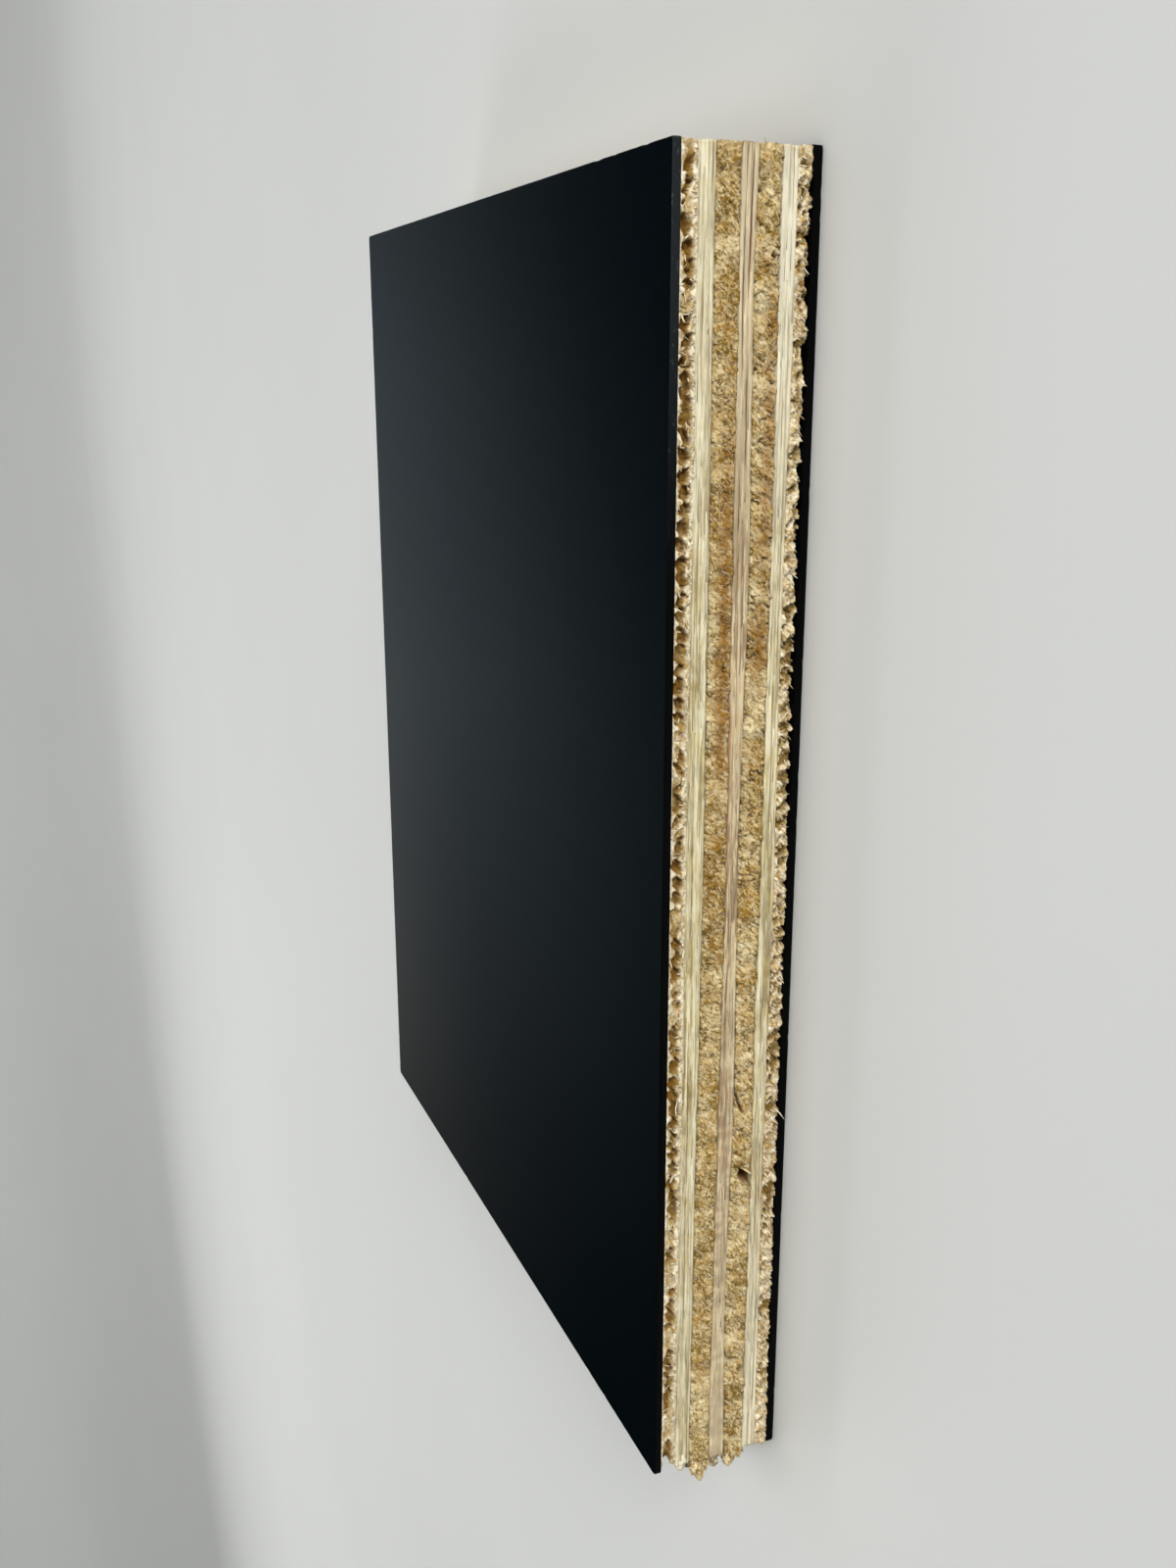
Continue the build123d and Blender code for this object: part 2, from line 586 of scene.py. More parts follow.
def cap(x: Array, y: Array, height: Callable[[Array, Array], Array]) -> tuple[Array, Array]:
    """Fills the inside of a ring with triangles.

    Args:
        x: the ring's places along the sheet.
        y: the ring's places across the sheet.
        height: gives the height of places inside the ring.

    Returns:
        The vertices inside the ring, and triangles that count the ring's vertices first.
    """
    half_x = SHEET_LENGTH / 2.0 - FACE_MARGIN
    half_y = SHEET_WIDTH / 2.0 - FACE_MARGIN
    inside_x, inside_y = np.meshgrid(
        np.linspace(-half_x, half_x, round(2 * half_x / FACE_SPACING) + 1),
        np.linspace(-half_y, half_y, round(2 * half_y / FACE_SPACING) + 1),
    )
    inside_x = inside_x.ravel()
    inside_y = inside_y.ravel()
    places = [Vector(place) for place in zip(np.append(x, inside_x), np.append(y, inside_y))]
    ring_face = [list(range(len(x)))]
    triangles_inside = 1
    merge_distance = 1e-7
    result = delaunay_2d_cdt(places, [], ring_face, triangles_inside, merge_distance)
    first_source = np.array([sources[0] for sources in result[3]])
    triangles = first_source[np.array(result[2])]
    inside = np.stack([inside_x, inside_y, height(inside_x, inside_y)], axis=-1)
    return inside, triangles


@dataclass(frozen=True)
class Splinters:
    """Torn fibres that stand on one veneer: how many, how big, and how they lie and lean.

    Angles are degrees from the direction along the edge. The band is a share of the veneer's
    height, and the profile lists place along a fibre and share of its width.
    """

    per_metre: float
    length: tuple[float, float]
    width: tuple[float, float]
    outward: tuple[float, float]
    curl: float
    lay: float = 0.0
    scatter: float = 90.0
    band: tuple[float, float] = (0.03, 0.97)
    pale: float = 0.6
    shunned_recess_shade: float = 2.0
    spill: float = 0.08
    flatness: float = 0.7
    profile: tuple[tuple[float, float], ...] = ((-0.15, 0.9), (0.35, 1.0), (0.75, 0.72))

    def grow(
        self, shell: Shell, surface: "WoodSurface", share: Array, generator: np.random.Generator
    ) -> int:
        """Adds the fibres to a mesh, each a bent, tapered, closed blade.

        Args:
            shell: the mesh.
            surface: the torn surface that they stand on.
            share: how thickly they stand at each place of the ring, from 0 to 1.
            generator: the source of chance.

        Returns:
            How many were added.
        """
        spacing = np.diff(surface.ring.travel, append=surface.ring.travel[-1]) * share
        count = round(self.per_metre * float(spacing.sum()) * MM)
        column = generator.choice(len(share), count, p=spacing / spacing.sum())
        rows = surface.places.shape[0]
        band = generator.uniform(*self.band, count)
        row = np.clip((band * (rows - 1)).round().astype(int), 0, rows - 1)
        kept = surface.fields["recess_brown_and_painted_shade"][row, column] < self.shunned_recess_shade
        row = row[kept]
        column = column[kept]
        count = len(row)
        root = surface.places[row, column]
        floor = np.maximum(surface.places[0, column, 2] - self.spill, surface.limit[0])
        roof = np.minimum(surface.places[-1, column, 2] + self.spill, surface.limit[1])
        way = self.ways(surface.ring.inward[column], generator)
        length = generator.uniform(*self.length, count)
        tip = root[:, 2] + way[:, 2] * length
        way[(tip < floor) | (tip > roof), 2] *= -1.0
        length = length[:, None]
        bend = np.cross(way, generator.normal(size=(count, 3)))
        bend /= np.linalg.norm(bend, axis=1)[:, None]
        width = generator.uniform(*self.width, count)[:, None]
        across = np.cross(way, bend)
        curl = generator.uniform(0.0, self.curl, count)[:, None]
        points = []
        for place, girth in self.profile:
            centre = root + way * length * place + bend * length * curl * place * abs(place)
            points.append(centre + across * width * 0.5 * girth)
            points.append(centre - across * width * 0.5 * girth)
            points.append(centre + bend * width * 0.5 * self.flatness * girth)
        points.append(root + way * length + bend * length * curl)
        blades = np.stack(points, axis=1)
        blades[:, :, 2] = np.clip(blades[:, :, 2], floor[:, None], roof[:, None])
        along = np.tile(np.repeat([0.0, 0.4, 0.8, 1.0], [3, 3, 3, 1]), count)
        root_values = {
            name: np.repeat(grid[row, column], len(points)) for name, grid in surface.fields.items()
        }
        # Each blade takes the pits' brown and painted shade of its root's recess, fading towards its tip
        values = {
            "recess_brown_and_painted_shade": root_values["recess_brown_and_painted_shade"] * (1.0 - along) * 0.6,
            "glue": root_values["glue"] * (1.0 - along) * 0.4,
            "stain": root_values["stain"] * (1.0 - 0.5 * along),
            "fibre": self.pale * (0.45 + 0.55 * along),
            "tone": np.repeat(generator.uniform(-1.0, 1.0, count), len(points)),
        }
        # A blade has three rings of three corners and a tip
        base = np.arange(count)[:, None] * len(points)
        tip = len(points) - 1
        triangles = [base + np.array([0, 1, 2])]
        quads = []
        for start in (0, 3):
            for a, b in ((0, 2), (2, 1), (1, 0)):
                quads.append(base + start + np.array([a, b, b + 3, a + 3]))
        for a, b in ((6, 8), (8, 7), (7, 6)):
            triangles.append(base + np.array([a, b, tip]))
        shell.add(blades.reshape(-1, 3), [np.concatenate(triangles), np.concatenate(quads)], values)
        return count

    def ways(self, inward: Array, generator: np.random.Generator) -> Array:
        """Chooses which way each fibre lies.

        Args:
            inward: the direction into the wood at each root.
            generator: the source of chance.

        Returns:
            One unit vector for each fibre.
        """
        count = len(inward)
        out = -inward / np.linalg.norm(inward, axis=1)[:, None]
        normal = np.column_stack([out, np.zeros(count)])
        tangent = np.column_stack([-out[:, 1], out[:, 0], np.zeros(count)])
        up = np.array([0.0, 0.0, 1.0])
        angle = np.radians(self.lay + generator.uniform(-self.scatter, self.scatter, count))
        turned = generator.choice([-1.0, 1.0], count)
        way = (
            normal * generator.uniform(*self.outward, count)[:, None]
            + tangent * (turned * np.cos(angle))[:, None]
            + up * (turned * np.sin(angle))[:, None]
        )
        return way / np.linalg.norm(way, axis=1)[:, None]


@dataclass(frozen=True)
class Strand:
    """One long fibre at listed points: a thin bent rod that tapers to both ends."""

    points: tuple[tuple[float, float, float], ...]
    width: float
    pale: float = 0.9
    tone: float = 0.4
    end_girth: float = 0.35
    sides: int = 5

    def add(self, shell: Shell) -> None:
        """Adds the fibre to a mesh.

        Args:
            shell: the mesh.
        """
        path = np.array(self.points)
        count = len(path)
        way = np.gradient(path, axis=0)
        way /= np.linalg.norm(way, axis=1)[:, None]
        # The rod's cross-section is turned from a direction that no fibre takes
        first = np.cross(way, np.array([0.3, 0.2, 0.93]))
        first /= np.linalg.norm(first, axis=1)[:, None]
        second = np.cross(way, first)
        swell = np.sin(math.pi * np.linspace(0.0, 1.0, count)) ** 0.6
        girth = 0.5 * self.width * (self.end_girth + (1.0 - self.end_girth) * swell)
        rods = []
        for i in range(self.sides):
            angle = 2.0 * math.pi * i / self.sides
            rods.append(path + (first * math.cos(angle) + second * math.sin(angle)) * girth[:, None])
        vertices = np.stack(rods, axis=1).reshape(-1, 3)
        start = np.arange(self.sides)[None, ::-1]
        end = np.arange(self.sides)[None, :] + (count - 1) * self.sides
        values = {name: np.zeros(len(vertices)) for name in ("recess_brown_and_painted_shade", "glue", "stain")}
        values["fibre"] = np.full(len(vertices), self.pale)
        values["tone"] = np.full(len(vertices), self.tone)
        shell.add(vertices, [wall_quads(count, self.sides), np.concatenate([start, end])], values)


@dataclass(frozen=True)
class Clump:
    """A crumb of torn wood that hangs from the ragged end, at a given place."""

    middle: tuple[float, float, float]
    radii: tuple[float, float, float]
    seed: int
    pale: float = 0.15
    facet_length: float = 0.75
    facet_width: float = 0.5
    lump_size: float = 0.9
    rings: int = 22
    around: int = 34

    def add(self, shell: Shell) -> None:
        """Adds the clump to a mesh as a closed lump of slanted facets.

        Args:
            shell: the mesh.
        """
        middle = np.array(self.middle)
        polar = np.linspace(0.0, math.pi, self.rings + 2)[1:-1, None]
        turn = np.linspace(0.0, 2.0 * math.pi, self.around, endpoint=False)[None, :]
        ball = np.stack(
            [np.sin(polar) * np.cos(turn), np.sin(polar) * np.sin(turn), -np.cos(polar) * np.ones_like(turn)],
            axis=-1,
        )
        # The rings of a ball from the lowest up, and then its two poles
        ball = np.concatenate([ball.reshape(-1, 3), [[0.0, 0.0, -1.0], [0.0, 0.0, 1.0]]])
        place = middle + ball * np.array(self.radii)
        border, facet, value = Cells(self.seed).at(
            (place[:, 0] + place[:, 2] + 0.4 * place[:, 1]) / self.facet_length,
            (place[:, 0] - place[:, 2]) / self.facet_width,
        )
        lumps = Lattice(self.seed).layered(*(place.T / self.lump_size), 3)
        stretch = 0.86 + 0.34 * lumps + 0.22 * facet + 0.08 * value
        place = middle + (place - middle) * stretch[:, None]
        lowest = len(place) - 2
        highest = len(place) - 1
        first = np.arange(self.around)
        after = (first + 1) % self.around
        top = (self.rings - 1) * self.around
        fans = [
            np.stack([np.full(self.around, lowest), after, first], axis=-1),
            np.stack([np.full(self.around, highest), top + first, top + after], axis=-1),
        ]
        # Cracks and dents in the clump are darkened as painted shade
        crack = 1.0 - smooth_step(border, 0.02, 0.16)
        values = {
            "recess_brown_and_painted_shade": np.clip(0.55 * crack * (value > 0.0) + 0.25 * smooth_step(-lumps, 0.1, 0.5), 0.0, 1.0),
            "glue": np.zeros(len(place)),
            "stain": np.clip(0.3 * lumps, 0.0, 1.0),
            "fibre": np.clip(self.pale + 0.3 * value, 0.0, 1.0),
            "tone": 0.8 * value,
        }
        shell.add(place, [wall_quads(self.rings, self.around), np.concatenate(fans)], values)


@dataclass
class WoodSurface:
    """The torn side walls of one veneer as a grid of rows and columns."""

    ring: Ring
    places: Array
    fields: dict[str, Array]
    limit: tuple[float, float]


@dataclass(frozen=True)
class Stain:
    """A patch where resin or heartwood darkens the wood of the near edge."""

    x: float
    half_length: float
    height: float
    half_height: float
    strength: float

    def at(self, x: Array, z: Array) -> Array:
        """Gives the stain's strength.

        Args:
            x: places along the sheet.
            z: heights.

        Returns:
            The strength at each place.
        """
        along = ((x - self.x) / self.half_length) ** 2
        across = ((z - self.height) / self.half_height) ** 2
        return self.strength * np.exp(-along * along - across)


@dataclass(frozen=True)
class Hollow:
    """A crack or hole in the near edge, longest along a slant."""

    x: float
    height: float
    half_length: float
    half_width: float
    depth: float
    slant: float = 0.0

    def at(self, x: Array, z: Array) -> Array:
        """Gives the share of the hollow's depth.

        Args:
            x: places along the sheet.
            z: heights.

        Returns:
            1 in the hollow's middle, 0 outside it.
        """
        angle = math.radians(self.slant)
        along = (x - self.x) * math.cos(angle) + (z - self.height) * math.sin(angle)
        across = (z - self.height) * math.cos(angle) - (x - self.x) * math.sin(angle)
        reach = (along / self.half_length) ** 2 + (across / self.half_width) ** 2
        return 1.0 - smooth_step(reach, 0.35, 1.15)


@dataclass(frozen=True)
class Patch:
    """A veneer's side walls before they are torn, as grids of rows and columns."""

    along: Array
    key: Array
    z: Array
    level: Array
    travel: Array
    base: Array
    seed: int

    def base_at(self, shift: Array) -> Array:
        """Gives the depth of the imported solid, read a shift in millimetres further along the ring."""
        return np.interp(self.travel + shift, self.travel, self.base)

    def noise(
        self,
        source: Lattice,
        length: float,
        height: float = math.inf,
        shift: float = 0.0,
        lift: float = 0.0,
        layers: int = 1,
    ) -> Array:
        """Reads noise with waves of a length and, where one is given, a height in millimetres."""
        return source.layered(self.along / length, self.key + shift, self.z / height + lift, layers)

    def cells(
        self, number: int, along: Array, across: Array, apart: float = 50.0
    ) -> tuple[Array, Array, Array]:
        """Reads one of the veneer's sets of cells, some cells apart from one side to the next."""
        return Cells(self.seed + number).at(along + apart * self.key, across)


@dataclass
class Relief:
    """What a tear or a cut leaves: the depth of each place, and how it looks."""

    depth: Array
    # How far each place takes the pits' brown and the painted shade of its recess
    recess_brown_and_painted_shade: Array
    tone: Array
    fibre: Array

    def blend(self, other: "Relief", share: Array) -> "Relief":
        """Mixes two reliefs.

        Args:
            other: the relief that counts where the share is 0.
            share: how far this one counts.

        Returns:
            The mix.
        """
        return Relief(
            share * self.depth + (1.0 - share) * other.depth,
            share * self.recess_brown_and_painted_shade + (1.0 - share) * other.recess_brown_and_painted_shade,
            share * self.tone + (1.0 - share) * other.tone,
            share * self.fibre + (1.0 - share) * other.fibre,
        )


@dataclass(frozen=True)
class PittedTear:
    """End grain pulled out in angular pits, with cream ridges and lips of fibre between them.

    Sizes are millimetres. The middle, the height and the rims of a pit are shares of the
    veneer's thickness.
    """

    least_depth: float = 0.06
    break_range: tuple[float, float] = (0.15, 0.85)
    pit_depth: float = 1.25
    pit_height: float = 0.4
    pit_middle: float = 0.54
    pit_wander: float = 0.12
    pit_lean: float = 2.2
    filled_length: float = 3.3
    filled_height: float = 2.0
    filled_share: float = 0.75
    fuller_end: float = 0.25
    fuller_by: float = 55.0
    shard_length: float = 0.7
    shard_width: float = 0.26
    shard_height: float = 0.17
    shard_slant: float = 0.6
    rims: tuple[float, float] = (0.1, 0.07)
    crack_depth: float = 0.08
    fuzz_size: tuple[float, float] = (0.26, 0.24)
    fuzz_depth: float = 0.05

    def carve(self, patch: Patch) -> Relief:
        """Works out the pits.

        Args:
            patch: the walls.

        Returns:
            Their relief.
        """
        noise = Lattice(patch.seed)
        sway = patch.noise(noise, 1.2, 0.8, layers=2)
        lean = patch.noise(noise, 2.6, shift=3.0)
        shifted = patch.base_at(0.4 * sway + self.pit_lean * lean * (patch.level - 0.5))
        shallow, deep = self.break_range
        notch = np.clip((shifted - shallow) / (deep - shallow), 0.0, 1.0)
        middle = self.pit_middle + self.pit_wander * patch.noise(noise, 1.7, shift=5.0)
        slide = patch.along + self.shard_slant * patch.z + 0.3 * sway
        border, facet, value = patch.cells(
            1, slide / self.shard_length, (patch.z + 0.25 * sway) / self.shard_width
        )
        # A pit is a leaning rhomb: deepest where the solid's break is, closed towards both glue lines
        outside = (1.0 - notch) + np.abs(patch.level - middle) / self.pit_height
        filled = patch.noise(noise, self.filled_length, self.filled_height, shift=9.0, layers=2)
        filled = filled + self.fuller_end * smooth_step(-patch.along, 0.0, self.fuller_by)
        pit = smooth_step(0.98 - outside + 0.16 * value + 0.12 * sway, 0.0, 0.42)
        pit = pit * (1.0 - self.filled_share * smooth_step(filled, 0.17, 0.55))
        fine = patch.noise(noise, *self.fuzz_size, lift=9.0, layers=2)
        shards = self.shard_height * (0.45 * value + 1.3 * facet)
        depth = self.least_depth + self.pit_depth * pit * (0.7 + 0.3 * notch)
        depth = depth + (0.55 + 0.7 * pit) * shards + self.fuzz_depth * fine
        lips = 1.0 - smooth_step(pit, 0.05, 0.35)
        rim = np.exp(-((patch.level / self.rims[0]) ** 2))
        rim = rim + np.exp(-(((1.0 - patch.level) / self.rims[1]) ** 2))
        # The pits take their own brown and painted shade, less near the glue lines' rims
        recess_brown_and_painted_shade = smooth_step(pit + 0.18 * value, 0.2, 0.6) * (0.9 + 0.25 * fine) * (1.0 - 0.6 * rim)
        fibre = np.clip(lips * (0.5 + 0.5 * value) + rim * (0.4 + 0.5 * fine), 0.0, 1.0)
        # Cracks between the shards get painted shade too
        crack = 1.0 - smooth_step(border, 0.0, 0.12)
        recess_brown_and_painted_shade = np.clip(recess_brown_and_painted_shade + 0.3 * crack * lips * (value < 0.0), 0.0, 1.0)
        return Relief(depth + self.crack_depth * crack, recess_brown_and_painted_shade, 0.55 * value + 0.35 * fine, fibre)


@dataclass(frozen=True)
class RaggedTear:
    """End grain torn in scallops with pale rims, and bitten away above the lower laminate.

    Sizes are millimetres, and a bite's reach is a share of the veneer's thickness. The bites list
    where the near edge has lost most: its start, length and strength.
    """

    least_back: float = 0.1
    back_depth: float = 1.3
    break_range: tuple[float, float] = (0.2, 1.1)
    torn_from: float = -6.0
    torn_to: float = 20.0
    lobe_length: float = 2.3
    scallop_length: float = 1.35
    scallop_width: float = 0.8
    scallop_depth: float = 0.65
    flake_length: float = 0.8
    flake_width: float = 0.26
    flake_height: float = 0.22
    pit_depth: float = 0.5
    pit_level: float = 0.45
    pitted_middle: float = 38.0
    bite_reach: tuple[float, float] = (0.05, 0.43)
    fuzz_size: float = 0.24
    fuzz_depth: float = 0.05
    bites: tuple[tuple[float, float, float], ...] = ()

    def carve(self, patch: Patch) -> Relief:
        """Works out the scallops.

        Args:
            patch: the walls.

        Returns:
            Their relief.
        """
        noise = Lattice(patch.seed)
        sway = patch.noise(noise, 1.2, 0.9, layers=2)
        shifted = patch.base_at(0.4 * sway + 0.8 * (patch.level - 0.5))
        shallow, deep = self.break_range
        notch = np.clip((shifted - shallow) / (deep - shallow), 0.0, 1.0)
        slow = patch.noise(noise, 6.0, shift=2.0, layers=2)
        torn = 0.15 + 0.85 * smooth_step(patch.along, self.torn_from, self.torn_to)
        scallop = patch.noise(noise, 0.8, shift=4.0)
        # Each lobe reaches further down towards -X and then breaks off
        lobe = patch.along / self.lobe_length + 0.7 * patch.noise(noise, 3.1, shift=6.0)
        lobe = (lobe - np.floor(lobe)) * (0.55 + 0.45 * torn)
        bite = 0.3 * notch + 0.12 * scallop + torn * (0.05 + 0.7 * slow) + 0.5 * lobe - 0.12
        near = patch.key < 1.5
        for start, length, amount in self.bites:
            inside = (start - patch.along) / length
            ragged = 1.0 - 0.7 * np.clip(inside, 0.0, 1.0) + 0.25 * scallop
            shape = smooth_step(inside, -0.06, 0.02) * (1.0 - smooth_step(inside, 0.85, 1.05)) * ragged
            bite = np.maximum(bite, near * amount * shape)
        bite = np.clip(0.88 * bite - 0.09 * (1.0 - torn), 0.0, 1.0)
        reach = self.bite_reach[0] + self.bite_reach[1] * bite
        fall = np.clip((reach - patch.level) / reach, 0.0, 1.0)
        border, facet, value = patch.cells(
            1,
            (patch.along - 0.6 * patch.z + 0.35 * sway) / self.scallop_length,
            (patch.z + 0.3 * patch.along + 0.25 * sway) / self.scallop_width,
        )
        _, small_facet, small = patch.cells(
            2, (patch.along + patch.z) / self.flake_length, (patch.z - patch.along) / self.flake_width
        )
        hollow = smooth_step(border, 0.02, 0.4) * smooth_step(value + 0.5 * slow, -0.25, 0.35)
        fine = patch.noise(noise, self.fuzz_size, self.fuzz_size, lift=9.0, layers=2)
        back = (self.least_back + self.back_depth * (0.5 + 0.7 * torn) * bite) * fall**0.6
        depth = 0.3 * notch + self.scallop_depth * hollow + 0.25 * facet + back - 0.12 * (1.0 - torn)
        depth = depth + 0.12 * small + self.flake_height * small_facet + self.fuzz_depth * fine
        # A brown pit with a slanted floor opens at some of the solid's breaks, most of them in the middle
        held = patch.noise(noise, 1.6, 2.6, shift=7.0)
        held = held + 0.4 * np.exp(-((patch.along / self.pitted_middle) ** 2))
        held = held - 0.15 * smooth_step(patch.along, 20.0, 50.0)
        pit = notch - 1.2 * np.abs(patch.level - self.pit_level) + 0.25 * small + 0.15 * sway
        pit = smooth_step(pit, 0.15, 0.5) * smooth_step(held, 0.1, 0.48)
        depth = depth + self.pit_depth * pit * (1.0 - bite) * (0.6 + 0.8 * patch.level)
        # Painted shade: deeper places, the hollows and the pits are tinted brown and darkened
        painted_depth_shade = 0.9 * smooth_step(depth, 0.45, 1.0)
        recess_brown_and_painted_shade = np.maximum(hollow * (0.8 + 0.3 * small), np.maximum(painted_depth_shade, 0.85 * pit))
        fibre = 0.9 * (1.0 - hollow) * (1.0 - painted_depth_shade) * (1.0 - pit) * (0.5 + 0.6 * small)
        tone = 0.45 * small + 0.35 * value + 0.3 * fine
        return Relief(depth, np.clip(recess_brown_and_painted_shade, 0.0, 1.0), tone, np.clip(fibre, 0.0, 1.0))


@dataclass(frozen=True)
class CrumblyTear:
    """End grain torn in slanted flakes and crumbs, with cracks between some of them that are darkened as
    painted shade.
    """

    flake_length: float
    flake_width: float
    flake_height: float
    crack_depth: float
    crack_share: float
    base_share: float = 0.85
    crumb_length: float = 0.5
    crumb_width: float = 0.2
    crumb_height: float = 0.1
    fuzz_size: tuple[float, float] = (0.2, 0.19)
    fuzz_depth: float = 0.04
    diagonal: float = 0.7071

    def carve(self, patch: Patch) -> Relief:
        """Works out the flakes.

        Args:
            patch: the walls.

        Returns:
            Their relief.
        """
        noise = Lattice(patch.seed)
        bend = 0.4 * patch.noise(noise, 1.5, 1.2, layers=2)
        slanted = (patch.along + patch.z) * self.diagonal + bend
        crossed = (patch.along - patch.z) * self.diagonal - 0.6 * bend
        border, facet, value = patch.cells(1, slanted / self.flake_length, crossed / self.flake_width)
        _, crumb_facet, crumb = patch.cells(
            2,
            (slanted + 0.5 * crossed) / self.crumb_length,
            (crossed - 0.3 * slanted) / self.crumb_width,
            apart=70.0,
        )
        fine = patch.noise(noise, *self.fuzz_size, lift=9.0, layers=2)
        swell = patch.noise(noise, 2.3, 1.6, shift=4.0, layers=2)
        mask = smooth_step(patch.noise(noise, 1.1, 0.9, shift=8.0), 0.45 - self.crack_share, 0.9)
        crack = mask * (1.0 - smooth_step(border, 0.03, 0.18))
        flakes = self.flake_height * (0.45 * value + 1.0 * facet + 0.6 * swell)
        crumbs = self.crumb_height * crumb_facet + 0.04 * crumb + self.fuzz_depth * fine
        depth = self.base_share * patch.base + flakes + crumbs + self.crack_depth * crack
        # Cracks are darkened as painted shade, and some crumbs are darkened at random
        recess_brown_and_painted_shade = np.clip(crack + 0.35 * smooth_step(crumb + 0.6 * fine, 0.55, 1.2), 0.0, 1.0)
        tone = 0.3 * value + 0.4 * crumb + 0.4 * fine + 0.25 * swell
        fibre = 0.4 * smooth_step(value - 0.5 * crumb, 0.5, 1.3)
        return Relief(depth, recess_brown_and_painted_shade, tone, fibre)


@dataclass(frozen=True)
class CombedGrain:
    """Long grain as the saw leaves it: nearly flat, with fine streaks and a few grooves.

    The grooves are levels, and their width too is a share of the veneer's thickness, and they are darkened as
    painted shade. The grain is painted paler towards both ends, most of all at +X, as painted light where
    more light falls, and calm grain fades to a soft shimmer towards -X.
    """

    grooves: tuple[float, ...] = ()
    groove_depth: float = 0.14
    groove_start: float = -90.0
    groove_rest: float = 0.25
    groove_width: float = 0.035
    streak_depth: float = 0.04
    streak_length: float = 9.0
    streak_width: float = 0.24
    fibre_length: float = 6.0
    fray_size: tuple[float, float] = (1.1, 0.14)
    painted_light_at_ends: float = 0.3
    calm: float = 0.0

    def carve(self, patch: Patch) -> Relief:
        """Works out the streaks and grooves.

        Args:
            patch: the walls.

        Returns:
            Their relief.
        """
        noise = Lattice(patch.seed + 40)
        drift = 0.35 * patch.noise(noise, 38.0)
        wave = 0.07 * patch.noise(noise, 5.0, 1.5, shift=8.0, layers=2)
        line = patch.z + drift + wave
        lines = noise.layered(patch.along / self.streak_length, patch.key, line / self.streak_width, 3)
        _, _, value = patch.cells(
            41, patch.along / self.fibre_length, (line + 0.015 * patch.along) / self.streak_width, apart=9.0
        )
        swell = patch.noise(noise, 6.0, 1.3, shift=2.0)
        broad = noise.layered(patch.along / 22.0, patch.key + 12.0, line / 1.1, 2)
        uneven = noise.layered(patch.along / 12.0, patch.key + 21.0, line / 0.6, 2)
        fray = patch.noise(noise, *self.fray_size, shift=6.0, layers=2)
        groove = np.zeros_like(patch.z)
        placed = smooth_step(patch.along, self.groove_start - 12.0, self.groove_start + 6.0)
        placed = self.groove_rest + (1.0 - self.groove_rest) * placed
        for i, level in enumerate(self.grooves):
            wander = 0.09 * patch.noise(noise, 17.0, shift=3.7 * i, layers=3)
            strength = placed * smooth_step(patch.noise(noise, 9.0, shift=11.3 * i), -0.5, 0.35)
            width = self.groove_width * (1.0 + 0.6 * patch.noise(noise, 6.0, shift=5.1 * i))
            shape = np.exp(-(((patch.level - level - wander) / width) ** 2))
            groove = np.maximum(groove, strength * shape)
        depth = patch.base + self.streak_depth * (lines + 0.4 * value) + 0.05 * swell + 0.02 * fray
        depth = depth + self.groove_depth * groove
        # Grooves are darkened as painted shade, and the grain's lines a little
        recess_brown_and_painted_shade = np.clip(0.9 * groove + 0.1 * smooth_step(lines, 0.3, 0.7), 0.0, 1.0)
        streaks = (0.55 + 1.1 * smooth_step(uneven, -0.25, 0.45)) * (0.35 * value + 0.6 * lines)
        tone = streaks + 0.4 * fray + 0.4 * broad
        calm = self.calm * smooth_step(-patch.along, 8.0, 40.0)
        shimmer = patch.noise(noise, 0.8, 2.4, shift=17.0, layers=2)
        tone = (1.0 - calm) * tone + 0.7 * calm * shimmer
        # Painted light: paler towards both ends, most of all at +X, where more light falls; it goes out
        # through the fibre attribute
        ends = smooth_step(patch.along, 20.0, 68.0) + 0.6 * smooth_step(-patch.along, 28.0, 70.0)
        return Relief(depth, recess_brown_and_painted_shade, tone, self.painted_light_at_ends * ends * (1.0 - groove))


